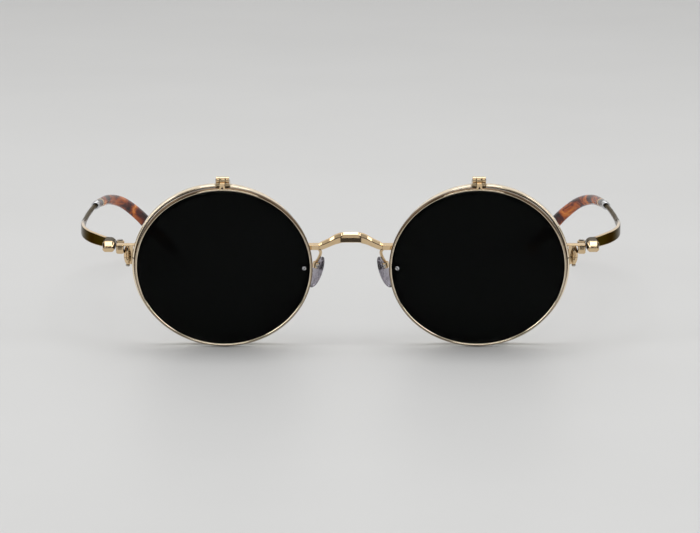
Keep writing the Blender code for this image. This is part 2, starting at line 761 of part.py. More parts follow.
def endpiece(name, side, parent, finish):
    """The bar soldered to the rim's outer side, with the block that carries the temple hinge."""
    high = ENDPIECE_RISE
    bar_low = high - ENDPIECE_BAR
    outline = [
        (rim_edge_x(high, 1) + SEAT_GAP, high),
        (rim_edge_x(bar_low, 1) + SEAT_GAP, bar_low),
        (ENDPIECE_BLOCK_X, bar_low),
        (ENDPIECE_BLOCK_X, high - ENDPIECE_BLOCK_HEIGHT),
        (ENDPIECE_END_X, high - ENDPIECE_BLOCK_HEIGHT),
        (ENDPIECE_END_X, high),
    ]
    mesh = prism(outline, [], -ENDPIECE_DEPTH / 2, ENDPIECE_DEPTH / 2, "y", side)
    made = piece(name, mesh, finish, parent, (side * ENDPIECE_BLOCK_X, 0, high))
    soften(made, ENDPIECE_BAR * 0.3)
    return made


def lock_outline():
    """A rim lock half seen from above: flat against the rim, round outside."""
    x = LOCK_X - LOCK_NECK
    centre = (LOCK_X, 0)
    return [(x, -LOCK_RADIUS), *arc(LOCK_RADIUS, -90, 90, 10, centre), (x, LOCK_RADIUS)], centre


def rim_locks(side, parent, finish, screw_finish):
    """The two half barrels that close the rim round the lens, and the screw that draws them together."""
    name = "left" if side < 0 else "right"
    outline, centre = lock_outline()
    hole = circle(hole_radius(LOCK_SCREW_RADIUS), ROUND_STEPS, centre)
    split_low = LOCK_SPLIT_RISE - LOCK_SLIT / 2
    split_high = LOCK_SPLIT_RISE + LOCK_SLIT / 2
    top = ENDPIECE_RISE - ENDPIECE_BAR - SEAT_GAP
    bottom = split_low - LOCK_LOWER_HEIGHT
    spots = {"upper": (split_high, top), "lower": (bottom, split_low)}
    for half, (low, high) in spots.items():
        mesh = prism(outline, [hole], low, high, "z", side)
        made = piece(f"rim_lock_{half}_{name}", mesh, finish, parent, (side * centre[0], 0, low))
        soften(made, LOCK_SLIT * 0.6)
    head = bottom - SEAT_GAP
    profile = [
        (head - LOCK_SCREW_HEAD, LOCK_SCREW_HEAD_RADIUS * 0.6),
        (head - LOCK_SCREW_HEAD * 0.5, LOCK_SCREW_HEAD_RADIUS),
        (head, LOCK_SCREW_HEAD_RADIUS),
        (head, LOCK_SCREW_RADIUS),
        (top - LOCK_SCREW_RADIUS, LOCK_SCREW_RADIUS),
    ]
    mesh = turned(profile, ROUND_STEPS, "z", (centre[0], 0, 0), side)
    piece(f"rim_lock_screw_{name}", mesh, screw_finish, parent, (side * centre[0], 0, head))


def front_hinge(name, side, parent, finish):
    """The front's half of a temple hinge: a plate on the endpiece's back and two knuckles."""
    plate_front = HINGE_SWING_RADIUS + HINGE_PLATE
    inner = -HINGE_RADIUS * 1.1
    outer = HINGE_OUTSET
    outline = [(inner, -plate_front), (outer, -plate_front), (outer, -HINGE_SWING_RADIUS)]
    outline += arc(HINGE_RADIUS, -40, 200, 12)
    outline += [(inner, -HINGE_SWING_RADIUS)]
    hole = circle(hole_radius(HINGE_SCREW_RADIUS), ROUND_STEPS)
    mesh = prism(outline, [hole], -HINGE_HALF_HEIGHT, HINGE_HALF_HEIGHT, "z", side)
    made = piece(name, mesh, finish, parent)
    room = HINGE_KNUCKLE / 2 + SIDE_GAP
    radius = HINGE_SWING_RADIUS
    mesh = turned([(-room, radius), (room, radius)], ROUND_STEPS * 2, "z", (0, 0, 0), side)
    cut(made, f"{name}_slot", mesh)
    return made


def temple_hinge(name, side, parent, finish):
    """The temple's half of the hinge: one knuckle on a plate along the temple block."""
    face = TEMPLE_BLOCK_INNER - SEAT_GAP / 2
    inner = face - HINGE_PLATE
    outline = arc(HINGE_RADIUS, 60, 335, 12)
    outline += [(face, -HINGE_RADIUS * math.sin(math.radians(25))), (face, HINGE_PLATE_LENGTH)]
    outline += [(inner, HINGE_PLATE_LENGTH)]
    hole = circle(hole_radius(HINGE_SCREW_RADIUS), ROUND_STEPS)
    half = HINGE_KNUCKLE / 2
    return piece(name, prism(outline, [hole], -half, half, "z", side), finish, parent)


def hinge_screw(name, side, parent, finish):
    """The screw that the temple turns on, its head on the upper knuckle."""
    top = HINGE_HALF_HEIGHT + SEAT_GAP / 2
    profile = [
        (top + HINGE_SCREW_HEAD, HINGE_SCREW_HEAD_RADIUS * 0.75),
        (top + HINGE_SCREW_HEAD * 0.6, HINGE_SCREW_HEAD_RADIUS),
        (top, HINGE_SCREW_HEAD_RADIUS),
        (top, HINGE_SCREW_RADIUS),
        (-top, HINGE_SCREW_RADIUS),
        (-top - HINGE_SCREW_RADIUS / 2, HINGE_SCREW_RADIUS * 0.6),
    ]
    return piece(name, turned(profile, ROUND_STEPS, "z", (0, 0, 0), side), finish, parent)


def temple_point(back, bow, curl, drop):
    """A point of the temple's line in the hinge's frame, from its row of shares."""
    out = TEMPLE_BLOCK_INNER + TEMPLE_BLOCK_THICKNESS / 2 + bow * TEMPLE_BOW - curl * TEMPLE_CURL
    return Vector((out, back * TEMPLE_LENGTH, -drop * TIP_DROP))


def temple_line(side):
    """The temple's middle line from its block to the end of its tip, as (share of reach, point)."""
    start = temple_point(0, 0, 0, 0)
    first = start - Vector((0, TEMPLE_BLOCK_FORWARD, 0))
    points = [first, start] + [temple_point(*row) for row in TEMPLE_LINE_SHARES]
    line = smooth_line(points, 2)
    return [(p.y / TEMPLE_LENGTH, Vector((side * p.x, p.y, p.z))) for p in line]


def between(line, start, end):
    """The stretch of a line between two shares of the reach, its ends cut exactly there."""

    def at(share):
        for (s0, p0), (s1, p1) in zip(line, line[1:]):
            if s0 <= share <= s1:
                return p0.lerp(p1, (share - s0) / (s1 - s0))
        return line[-1][1]

    inside = [(s, p) for s, p in line if start < s < end]
    return [(start, at(start)), *inside, (end, at(end))]


def blend(share, start, end, first, last):
    """A size that goes from first to last between two shares, smoothly."""
    t = min(max((share - start) / (end - start), 0.0), 1.0)
    return first + (last - first) * (t * t * (3 - 2 * t))


def temple_section(share):
    """The temple's section along its length: a block, then a flat strip, then plain wire."""
    step = STRIP_START_SHARE
    if share < step * 0.8:
        return chamfered_box(TEMPLE_BLOCK_THICKNESS, TEMPLE_BLOCK_HEIGHT, 0.18)
    thickness = blend(share, step * 0.8, step, TEMPLE_BLOCK_THICKNESS, TEMPLE_STRIP_THICKNESS)
    height = blend(share, step * 0.8, step * 3, TEMPLE_BLOCK_HEIGHT, TEMPLE_STRIP_HEIGHT)
    if share > STRIP_END_SHARE:
        thickness = blend(share, STRIP_END_SHARE, WIRE_START_SHARE, TEMPLE_STRIP_THICKNESS, TEMPLE_WIRE)
        height = blend(share, STRIP_END_SHARE, WIRE_START_SHARE, TEMPLE_STRIP_HEIGHT, TEMPLE_WIRE)
    return chamfered_box(thickness, height)


def temple_arm(name, side, line, parent, finish):
    """The temple: block, strip and wire in one piece; its end is the core inside the tip."""
    stretch = between(line, line[0][0], CORE_END_SHARE)
    frames = line_frames([p for _, p in stretch])
    mesh = bmesh.new()
    along(frames, [temple_section(share) for share, _ in stretch], mesh)
    return piece(name, mesh, finish, parent)


def sleeve(mesh, frames, outers, inners):
    """A tube open at both ends: its outside and its bore on the same frames."""
    outside = along(frames, outers, mesh, closed_ends=False)
    inside = along(frames, inners, mesh, closed_ends=False)
    skin(mesh, [outside[0], inside[0]])
    skin(mesh, [outside[-1], inside[-1]])


def ferrule(name, line, parent, finish):
    """The metal sleeve on the wire where the acetate tip begins, ribbed at its front end."""
    stretch = between(line, FERRULE_START_SHARE, FERRULE_END_SHARE)
    frames = line_frames([p for _, p in stretch])
    outers = [circle(FERRULE_RADIUS, TIP_STEPS)] * len(frames)
    outers[0] = circle(FERRULE_RADIUS * 0.85, TIP_STEPS)
    inners = [circle(CORE_BORE, TIP_STEPS)] * len(frames)
    mesh = bmesh.new()
    sleeve(mesh, frames, outers, inners)
    return piece(name, mesh, finish, parent, frames[0].translation)


def oval(width, height):
    """An oval section."""
    return [(a * width / 2, b * height / 2) for a, b in circle(1.0, TIP_STEPS)]


def temple_tip(name, line, parent, finish):
    """The acetate tip: an oval sleeve over the wire's core, ending in a rounded paddle."""
    start = FERRULE_END_SHARE + SEAT_GAP / TEMPLE_LENGTH
    stretch = between(line, start, line[-1][0])
    frames = line_frames([p for _, p in stretch])
    outers = []
    for share, _ in stretch:
        height = blend(share, start, 1.0, TIP_HEIGHT, TIP_PADDLE_HEIGHT)
        outers.append(oval(TIP_THICKNESS, height))
    outers[0] = oval(FERRULE_RADIUS * 2.1, FERRULE_RADIUS * 2.1)
    end = frames[-1]
    cap_shares = ((0.40, 0.86), (0.68, 0.58), (0.80, 0.25))
    for ahead, size in cap_shares:
        shift = Matrix.Translation((0, ahead * TIP_PADDLE_HEIGHT / 2, 0))
        frames.append(end @ shift)
        outers.append(oval(TIP_THICKNESS * size, TIP_PADDLE_HEIGHT * size))
    mesh = bmesh.new()
    outside = along(frames, outers, mesh, closed_ends=False)
    mesh.faces.new(outside[-1])
    bore = between(line, start, CORE_END_SHARE + SEAT_GAP / TEMPLE_LENGTH)
    bore_frames = [frames[0], *line_frames([p for _, p in bore])[1:]]
    inside = along(bore_frames, [circle(CORE_BORE, TIP_STEPS)] * len(bore_frames), mesh, False)
    mesh.faces.new(inside[-1])
    skin(mesh, [outside[0], inside[0]])
    return piece(name, mesh, finish, parent, frames[0].translation)


def standing_tilt(rims, tips):
    """The lean at which the rims' lowest points and the tips' lowest points meet one floor."""
    bpy.context.view_layer.update()

    def spots(objects):
        return [(o.matrix_world @ v.co).yz for o in objects for v in o.data.vertices]

    rim_spots, tip_spots = spots(rims), spots(tips)

    def lowest(points, tilt):
        return min(y * math.sin(tilt) + z * math.cos(tilt) for y, z in points)

    low, high = -math.pi / 6, math.pi / 6
    for _ in range(50):
        tilt = (low + high) / 2
        if lowest(tip_spots, tilt) < lowest(rim_spots, tilt):
            low = tilt
        else:
            high = tilt
    return tilt


def set_on_floor(stand, pieces):
    """Moves the whole so that the middle of its base is the origin."""
    bpy.context.view_layer.update()
    spots = [o.matrix_world @ v.co for o in pieces for v in o.data.vertices]
    low = Vector([min(p[i] for p in spots) for i in range(3)])
    high = Vector([max(p[i] for p in spots) for i in range(3)])
    stand.location = -Vector(((low.x + high.x) / 2, (low.y + high.y) / 2, low.z))


for old in list(bpy.data.objects):
    bpy.data.objects.remove(old, do_unlink=True)

GOLD = material("polished_gold", (0.83, 0.62, 0.34), 1.0, 0.16)
STEEL = material("screw_steel", (0.62, 0.60, 0.56), 1.0, 0.28)
SILVER = material("ferrule_silver", (0.55, 0.56, 0.58), 1.0, 0.25)
CLEAR = material("clear_lens", (0.90, 0.95, 0.93), 0.0, 0.05, 0.2)
DARK = material("dark_lens", (0.02, 0.025, 0.022), 0.0, 0.05, 0.95)
TORTOISE = material("tortoise_acetate", (0.35, 0.13, 0.04), 0.0, 0.2)
SILICONE = material("pad_silicone", (0.75, 0.76, 0.78), 0.0, 0.3, 0.6)
RUBBER = material("bumper_rubber", (0.05, 0.05, 0.05), 0.0, 0.5)

stand = empty("stand", None)
front = empty("front_frame", stand)
main_section = rim_section(RIM_WALL, RIM_DEPTH)
flip_section = rim_section(FLIP_RIM_WALL, FLIP_RIM_DEPTH)
slit_angle = math.asin(LOCK_SPLIT_RISE / (MAIN_HALF[1] + RIM_OUTER))
rims, tips = [], []

bridge(front, GOLD)
for hand, side in SIDES.items():
    main_centre = (side * MAIN_X, 0, 0)
    flip_centre = (side * FLIP_X, FLIP_Y, FLIP_RISE)
    slit = (slit_angle, LOCK_SLIT)
    rims.append(
        rim(f"main_rim_{hand}", *MAIN_HALF, main_section, GOLD, front, main_centre, side, slit)
    )
    lens(f"clear_lens_{hand}", *MAIN_HALF, LENS_THICKNESS, LENS_DOME, CLEAR, front, main_centre)
    bridge_block(f"bridge_block_{hand}", side, front, GOLD)
    hinge_bracket(side, front, GOLD)
    flip_pin(f"flip_hinge_pin_{hand}", side, front, STEEL)

    flip_at = (side * FLIP_X, FLIP_AXIS.y, FLIP_AXIS.z)
    flip_axis = empty(f"flip_axis_{hand}", front, flip_at)
    in_flip = Matrix.Translation(-Vector(flip_at))
    flip_frame = empty(f"flip_frame_{hand}", flip_axis, in_flip.translation)
    rim(f"flip_rim_{hand}", *FLIP_HALF, flip_section, GOLD, flip_frame, flip_centre, side)
    dark = lens(
        f"dark_lens_{hand}",
        *FLIP_HALF,
        FLIP_LENS_THICKNESS,
        FLIP_LENS_DOME,
        DARK,
        flip_frame,
        flip_centre,
    )
    flip_saddle(f"flip_saddle_{hand}", side, flip_frame, GOLD)
    bumper(side, dark, flip_frame, SILVER, RUBBER)

    endpiece(f"endpiece_{hand}", side, front, GOLD)
    rim_locks(side, front, GOLD, STEEL)

    pad_arm(f"pad_arm_{hand}", side, front, GOLD)
    pad_spot = pad_frame(side)
    pad_axis = empty(f"pad_axis_{hand}", front, pad_spot.translation, pad_spot.to_euler())
    pad_box(f"pad_box_{hand}", side, pad_axis, GOLD)
    pad_screw(f"pad_screw_{hand}", pad_axis, STEEL)
    pad_stem(f"pad_stem_{hand}", side, pad_axis, STEEL)
    nose_pad(f"nose_pad_{hand}", side, pad_axis, SILICONE)

    hinge_at = (side * HINGE_AXIS.x, HINGE_AXIS.y, HINGE_AXIS.z)
    hinge_axis = empty(f"temple_axis_{hand}", front, hinge_at, (-PANTOSCOPIC_ANGLE, 0, 0))
    front_hinge(f"front_hinge_{hand}", side, hinge_axis, GOLD)
    hinge_screw(f"hinge_screw_{hand}", side, hinge_axis, STEEL)
    temple_hinge(f"temple_hinge_{hand}", side, hinge_axis, GOLD)
    line = temple_line(side)
    temple_arm(f"temple_arm_{hand}", side, line, hinge_axis, GOLD)
    ferrule(f"ferrule_{hand}", line, hinge_axis, SILVER)
    tips.append(temple_tip(f"temple_tip_{hand}", line, hinge_axis, TORTOISE))

front.rotation_euler.x = standing_tilt(rims, tips)
set_on_floor(stand, [o for o in bpy.data.objects if o.type == "MESH" and not o.hide_render])
bpy.context.view_layer.update()
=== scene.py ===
import json
import math

import bmesh
import bpy
from mathutils import Matrix, Vector


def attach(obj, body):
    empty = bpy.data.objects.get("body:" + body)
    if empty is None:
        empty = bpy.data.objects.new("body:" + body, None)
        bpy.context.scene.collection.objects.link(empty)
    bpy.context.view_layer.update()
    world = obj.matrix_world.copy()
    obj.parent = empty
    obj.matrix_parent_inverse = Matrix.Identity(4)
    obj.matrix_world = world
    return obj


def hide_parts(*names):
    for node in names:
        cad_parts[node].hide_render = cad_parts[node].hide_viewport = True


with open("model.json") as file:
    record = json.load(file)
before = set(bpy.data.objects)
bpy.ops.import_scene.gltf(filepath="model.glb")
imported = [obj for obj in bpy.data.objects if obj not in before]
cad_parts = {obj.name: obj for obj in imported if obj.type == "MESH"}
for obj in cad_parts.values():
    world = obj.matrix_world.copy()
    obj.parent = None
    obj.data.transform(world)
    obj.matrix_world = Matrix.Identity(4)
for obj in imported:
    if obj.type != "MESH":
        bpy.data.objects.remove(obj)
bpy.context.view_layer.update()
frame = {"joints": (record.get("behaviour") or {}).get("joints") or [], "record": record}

# The studio: a pale table in a plain, softly lit room. The glasses stand on their rims and tips
# with the front leaning over by about 8 degrees, and the camera looks straight at them from
# 0.8 m away and a little above.
mm = 0.001

# the front's own frame leans as the seat under the bridge does, with the flips' axis in its place
seat = next(mount for mount in frame["record"]["mounts"] if mount["name"] == "bridge_seat")
flip_joint = next(joint for joint in frame["joints"] if joint["name"] == "flip_up_right")
flip_axis = Vector((34.5, -2.2, 24.7)) * mm
lean = Matrix.Rotation(math.atan2(seat["axis"][1], -seat["axis"][2]), 4, "X")
front = Matrix.Translation(Vector(flip_joint["pos_m"]) - lean @ flip_axis) @ lean

view_distance, view_height, lens_length = 0.8, math.radians(11.3), 151.8
aim_depth, aim_left, aim_up = -4.0 * mm, 0.22 * mm, 0.68 * mm
ahead = Vector((0, math.cos(view_height), -math.sin(view_height)))
right = Vector((1, 0, 0))
aim = front @ Vector((0, aim_depth, 0)) - right * aim_left + right.cross(ahead) * aim_up


def stand(name, data):
    """Puts a new object with this data in the scene."""
    made = bpy.data.objects.new(name, data)
    bpy.context.scene.collection.objects.link(made)
    return made


camera_data = bpy.data.cameras.new("studio_camera")
camera_data.sensor_width, camera_data.lens = 36, lens_length
camera_data.clip_start, camera_data.clip_end = 0.05, 30
camera = stand("studio_camera", camera_data)
camera.location = aim - ahead * view_distance
camera.rotation_mode = "QUATERNION"
camera.rotation_quaternion = ahead.to_track_quat("-Z", "Y")
bpy.context.scene.camera = camera
bpy.context.scene.view_settings.view_transform = "Standard"


def new_material(name):
    """An empty node material: the material, its tree and its shader."""
    made = bpy.data.materials.new(name)
    made.use_nodes = True
    return made, made.node_tree, made.node_tree.nodes["Principled BSDF"]


def feed(made, *in_order, **named):
    """Gives a node's sockets their values, or links them to the sockets of other nodes."""
    sockets = dict(enumerate(in_order))
    sockets.update((name.replace("_", " "), value) for name, value in named.items())
    for key, value in sockets.items():
        if isinstance(value, bpy.types.NodeSocket):
            made.id_data.links.new(value, made.inputs[key])
        else:
            made.inputs[key].default_value = value
    return made


def node(tree, kind, settings=(), *in_order, **named):
    """Adds a node with these settings and feeds its sockets."""
    made = tree.nodes.new(kind)
    for name, value in dict(settings).items():
        setattr(made, name, value)
    return feed(made, *in_order, **named)


def noise(tree, scale, detail=4.0, stretch=(1, 1, 1), distortion=0.0):
    """Cloudy variation in the piece's own metres; a scale of 1000 is one cloud a millimetre."""
    spot = node(tree, "ShaderNodeTexCoord").outputs["Object"]
    spot = node(tree, "ShaderNodeMapping", Vector=spot, Scale=stretch).outputs["Vector"]
    sizes = {"Scale": scale, "Detail": detail, "Distortion": distortion}
    return node(tree, "ShaderNodeTexNoise", Vector=spot, **sizes).outputs["Fac"]


def ramp(tree, fac, stops):
    """A colour that goes through these (place, colour) stops."""
    made = node(tree, "ShaderNodeValToRGB", Fac=fac)
    points = made.color_ramp.elements
    while len(points) < len(stops):
        points.new(0.5)
    for point, (place, colour) in zip(points, stops):
        point.position, point.color = place, (*colour, 1.0)
    return made.outputs["Color"]


table_size, table_clouds = 14.0, 9.0
table_shades = [(0.3, (0.61, 0.61, 0.605)), (0.7, (0.63, 0.63, 0.625))]
table_material, tree, shader = new_material("pale_table")
feed(shader, Base_Color=ramp(tree, noise(tree, table_clouds), table_shades), Roughness=0.5)
table_mesh = bmesh.new()
bmesh.ops.create_grid(table_mesh, x_segments=2, y_segments=2, size=table_size / 2)
table_data = bpy.data.meshes.new("studio_table")
table_mesh.to_mesh(table_data)
table_mesh.free()
table_data.materials.append(table_material)
stand("studio_table", table_data)

# what the camera and the polished metal see of the room, from low in front to high behind: each
# way's height and depth count by these shares
room_shades = [
    (0.35, (0.06, 0.06, 0.065)),
    (0.54, (0.15, 0.15, 0.16)),
    (0.72, (0.5, 0.5, 0.49)),
    (0.88, (0.84, 0.83, 0.81)),
]
height_share, depth_share = 0.5, 0.45
soft_light_strength = 0.66
room = bpy.data.worlds.new("studio_room")
bpy.context.scene.world = room
room.use_nodes = True
tree = room.node_tree
tree.nodes.clear()
way = node(tree, "ShaderNodeTexCoord").outputs["Generated"]
split = node(tree, "ShaderNodeSeparateXYZ", Vector=way)
level = 0.5
for axis, share in (("Z", height_share), ("Y", depth_share)):
    terms = (split.outputs[axis], share, level)
    level = node(tree, "ShaderNodeMath", {"operation": "MULTIPLY_ADD"}, *terms).outputs[0]
seen = node(tree, "ShaderNodeBackground", Color=ramp(tree, level, room_shades), Strength=1.0)
white = (1.0, 1.0, 1.0, 1.0)
soft_light = node(tree, "ShaderNodeBackground", Color=white, Strength=soft_light_strength)
rays = node(tree, "ShaderNodeLightPath").outputs
chosen = rays["Is Camera Ray"]
for kind in ("Is Glossy Ray", "Is Transmission Ray"):
    chosen = node(tree, "ShaderNodeMath", {"operation": "MAXIMUM"}, chosen, rays[kind]).outputs[0]
shaders = (soft_light.outputs[0], seen.outputs[0])
mixed = node(tree, "ShaderNodeMixShader", (), chosen, *shaders)
node(tree, "ShaderNodeOutputWorld", Surface=mixed.outputs[0])

# name, place, width, height and power; every lamp points at the glasses
lamps = (
    ("overhead_softbox", (0.0, 0.04, 0.95), 0.7, 0.5, 2.9),
    ("front_softbox", (0.0, -1.25, 0.72), 0.9, 0.22, 1.7),
    ("left_softbox", (-0.85, -0.35, 0.50), 0.25, 0.7, 1.5),
    ("right_softbox", (0.85, -0.35, 0.50), 0.25, 0.7, 1.2),
)
lamp_target = Vector((0, 0, 0.02))
for name, place, width, height, power in lamps:
    lamp_data = bpy.data.lights.new(name, "AREA")
    lamp_data.shape, lamp_data.size, lamp_data.size_y = "RECTANGLE", width, height
    lamp_data.energy = power
    lamp = stand(name, lamp_data)
    lamp.location = place
    lamp.rotation_euler = (lamp_target - Vector(place)).to_track_quat("-Z", "Y").to_euler()


# The bridge: one faceted bar of gold-coloured metal that arches over the nose, thinner towards
# its feet. It is drawn, filed flat all round and polished, and the flats of its crown are turned,
# so that they meet those of its arms in a sharp slanting corner.
bridge_end = 8.655 * mm
foot_rise, arch = 5.1 * mm, 2.6 * mm
solder_reach = 0.15 * mm
# place along the half span, rise as a share of the arch, size as a share of the full section
bridge_rows = (
    (1.00, 0.00, 0.52),
    (0.90, 0.12, 0.74),
    (0.82, 0.22, 0.78),
    (0.65, 0.49, 0.82),
    (0.50, 0.76, 0.90),
    (0.34, 0.94, 0.97),
    (0.16, 1.00, 1.00),
)
# the bar's section in the crown and in the arms, from its foot round by the front, in mm
crown_section = (
    (-1.20, -1.32), (-1.20, -0.08), (-0.76, 0.77), (-0.13, 1.40), (0.45, 1.40),
    (1.20, 0.70), (1.20, -0.95), (0.80, -1.40), (-1.05, -1.40),
)
arm_section = (
    (-1.20, -0.80), (-1.20, 0.42), (-1.10, 0.68), (-0.42, 1.40), (0.50, 1.40),
    (1.20, 0.70), (1.20, -0.70), (0.60, -1.40), (-0.72, -1.40),
)
# where the corner lies as a share of the half span, how it slants with height, and its length
corner_at, corner_slant, corner_length = 0.26, 0.03, 0.09
crown_turn, arm_turn = -18, 2


def spread(tree, fac, low, high, start=0.3, end=0.7):
    """A number that goes from low to high as fac goes from start to end."""
    ends = {"From_Min": start, "From_Max": end, "To_Min": low, "To_Max": high}
    return node(tree, "ShaderNodeMapRange", Value=fac, **ends).outputs["Result"]


def bump(tree, shader, fac, depth):
    """Raises the surface by this depth in metres where fac is one."""
    raised = node(tree, "ShaderNodeBump", Strength=1.0, Distance=depth, Height=fac)
    feed(shader, Normal=raised.outputs["Normal"])


def metal(name, colour, shade, smooth, rough, painted_crease_shade=(0.045, 0.026, 0.010), reach=0.4 * mm):
    """A polished metal: colour clouds a little, polish varies, and creases get painted shade."""
    made, tree, shader = new_material(name)
    cloud = ramp(tree, noise(tree, 160.0, 5.0), [(0.32, colour), (0.72, shade)])
    # painted shade: the ambient occlusion mixes the dark crease colour into the metal where other
    # surfaces lie within reach, in creases and between parts
    corner = node(tree, "ShaderNodeAmbientOcclusion", {"samples": 8}, Distance=reach)
    colours = {"Factor": spread(tree, corner.outputs["AO"], 0.0, 1.0, 0.30, 0.85)}
    colours.update(A=(*painted_crease_shade, 1.0), B=cloud)
    crease_shaded = node(tree, "ShaderNodeMix", {"data_type": "RGBA"}, **colours)
    feed(shader, Base_Color=crease_shaded.outputs["Result"], Metallic=1.0)
    handled = noise(tree, 900.0, 6.0, (1.0, 0.35, 1.0))
    feed(shader, Roughness=spread(tree, handled, smooth, rough))
    bump(tree, shader, noise(tree, 2600.0, 3.0, (1.0, 0.2, 1.0)), 0.0016 * mm)
    return made


gold = metal("polished_gold", (0.79, 0.60, 0.375), (0.70, 0.50, 0.28), 0.05, 0.14)


def set_in(
    mesh, name, node_name, hand="", body="front", slot="polished_gold", *finish, place=front,
    sharp=38.0, flat=False
):
    """Turns a finished mesh, drawn in its own frame, into a piece in its place on the glasses.
    With a hand it is one of a pair, and so are its node and every body but the front. The flats
    of a filed piece stay flat up to its eased edges."""
    ending = f"_{hand}" if hand else ""
    bmesh.ops.transform(mesh, matrix=place, verts=mesh.verts)
    bmesh.ops.recalc_face_normals(mesh, faces=mesh.faces)
    data = bpy.data.meshes.new(name + ending)
    mesh.to_mesh(data)
    mesh.free()
    data.shade_smooth()
    data.set_sharp_from_angle(angle=math.radians(sharp))
    for material in finish or (gold,):
        data.materials.append(material)
    made = stand(name + ending, data)
    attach(made, body if body == "front" else body + ending)
    if node_name:
        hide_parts(node_name + ending)
    if flat:
        made.modifiers.new("flat_faces", "WEIGHTED_NORMAL").keep_sharp = True
    return made


def skin(mesh, loops, closed=False, capped=False):
    """Quads between each loop of points and the next one, and a face over each end."""
    pairs = list(zip(loops, loops[1:]))
    if closed:
        pairs.append((loops[-1], loops[0]))
    for first, second in pairs:
        for i in range(len(first)):
            j = (i + 1) % len(first)
            mesh.faces.new((first[i], first[j], second[j], second[i]))
    if capped:
        mesh.faces.new(loops[0])
        mesh.faces.new(loops[-1])


def drawn(frames, sections):
    """A bar drawn along frames, with a section of (across, up) points at each."""
    mesh = bmesh.new()
    loops = []
    for spot, section in zip(frames, sections):
        loops.append([mesh.verts.new(spot @ Vector((across, 0, up))) for across, up in section])
    skin(mesh, loops, capped=True)
    return mesh


def smooth_rows(rows, steps):
    """Rows of numbers with this many steps between each two, on a smooth curve through them."""
    points = [Vector(row) for row in rows]
    ends = [2 * points[0] - points[1], *points, 2 * points[-1] - points[-2]]
    made = []
    for i in range(1, len(ends) - 2):
        before, here, after, beyond = ends[i - 1 : i + 3]
        for k in range(steps):
            t = k / steps
            made.append(
                here
                + (after - before) * (t / 2)
                + (2 * before - 5 * here + 4 * after - beyond) * (t * t / 2)
                + (3 * here - 3 * after + beyond - before) * (t * t * t / 2)
            )
    return [*made, points[-1]]


def eased_step(share, start, end, first, last):
    """A size that goes smoothly from first to last between two shares."""
    t = min(max((share - start) / (end - start), 0.0), 1.0)
    return first + (last - first) * (t * t * (3 - 2 * t))


half_rows = [*bridge_rows, (0.0, 1.0, 1.0)]
whole_rows = [(-x, rise, size) for x, rise, size in half_rows] + list(reversed(bridge_rows))
frames, sections = [], []
for x, rise, size in smooth_rows(whole_rows, 8):
    spot = Vector((x * (bridge_end + solder_reach), 0, foot_rise + rise * arch))
    frames.append(Matrix.Translation(spot) @ Matrix.Rotation(math.radians(90), 4, "Z"))
    section = []
    for crown, arm in zip(crown_section, arm_section):
        corner = corner_at - corner_slant * crown[1]
        along_arm = eased_step(abs(x), corner, corner + corner_length, 0.0, 1.0)
        across, up = (c + (a - c) * along_arm for c, a in zip(crown, arm))
        across, up = across * mm * (1 + size) / 2, up * mm * size
        turn = math.radians(crown_turn + (arm_turn - crown_turn) * along_arm)
        cos, sin = math.cos(turn), math.sin(turn)
        section.append((across * cos - up * sin, across * sin + up * cos))
    sections.append(section)
bridge = set_in(drawn(frames, sections), "saddle_bridge", "bridge", sharp=180)
edges = bridge.modifiers.new("eased_edges", "BEVEL")
edges.width, edges.segments, edges.angle_limit = 0.05 * mm, 2, math.radians(12)
edges.harden_normals = True


# The bridge blocks: a small filed block of the same metal each side, soldered between the
# bridge's foot and the rim, with a fillet of solder where it meets the rim wire.
hands = (("left", -1), ("right", 1))
lens_half, lens_at = (23.5 * mm, 22.3 * mm), 35.4 * mm
rim_outer, rim_half_depth = 0.6 * mm, 1.2 * mm
rim_top = lens_half[1] + rim_outer
block_height, block_depth = 1.4 * mm, 2.2 * mm
block_low, block_high = foot_rise - block_height / 2, foot_rise + block_height / 2
fillet = 0.28 * mm


def rim_edge(rise, towards):
    """Where a main rim's outer edge is at this height, towards the temple (1) or nose (-1)."""
    reach = (lens_half[0] + rim_outer) * math.sqrt(1 - (rise / rim_top) ** 2)
    return lens_at + towards * reach


def slab(outline, low, high, side=1, through="y"):
    """A plate with this outline, whose thickness goes from low to high along one axis."""
    mesh = bmesh.new()
    loops = []
    for depth in (low, high):
        spots = {
            "x": [(depth, a, b) for a, b in outline],
            "y": [(side * a, depth, b) for a, b in outline],
            "z": [(side * a, b, depth) for a, b in outline],
        }
        loops.append([mesh.verts.new(spot) for spot in spots[through]])
    skin(mesh, loops, capped=True)
    bmesh.ops.recalc_face_normals(mesh, faces=mesh.faces)
    return mesh


def ease(mesh, width, steps=2, angle=40.0):
    """Rounds the edges of a filed piece."""
    least = math.radians(angle)
    edges = [e for e in mesh.edges if len(e.link_faces) == 2 and e.calc_face_angle(0) > least]
    rounding = {"profile": 0.5, "affect": "EDGES", "clamp_overlap": True}
    bmesh.ops.bevel(mesh, geom=edges, offset=width, segments=steps, **rounding)
    return mesh


for hand, side in hands:
    outline = [
        (bridge_end, block_low),
        (rim_edge(block_low, -1) - fillet, block_low),
        (rim_edge(block_low - fillet, -1) + fillet / 3, block_low - fillet),
        (rim_edge(block_high + fillet, -1) + fillet / 3, block_high + fillet),
        (rim_edge(block_high, -1) - fillet, block_high),
        (bridge_end, block_high),
    ]
    mesh = ease(slab(outline, -block_depth / 2, block_depth / 2, side), 0.14 * mm, 3, 30)
    set_in(mesh, "nose_block", "bridge_block", hand, flat=True)


# The main rims: round wire frames rolled from grooved gold-coloured wire, the lens's edge in the
# groove. Each is slit at the temple side, where a lock closes it. The slope towards the lens is
# painted dark brown as shade, and the rest a paler gold painted as the lit side.
rim_lap = 0.2 * mm
slit_rise, slit_width = 2.2 * mm, 0.3 * mm
main_crown, main_groove, main_painted_shade = 0.30 * mm, 0.79 * mm, (0, 5)
ring_steps = 192
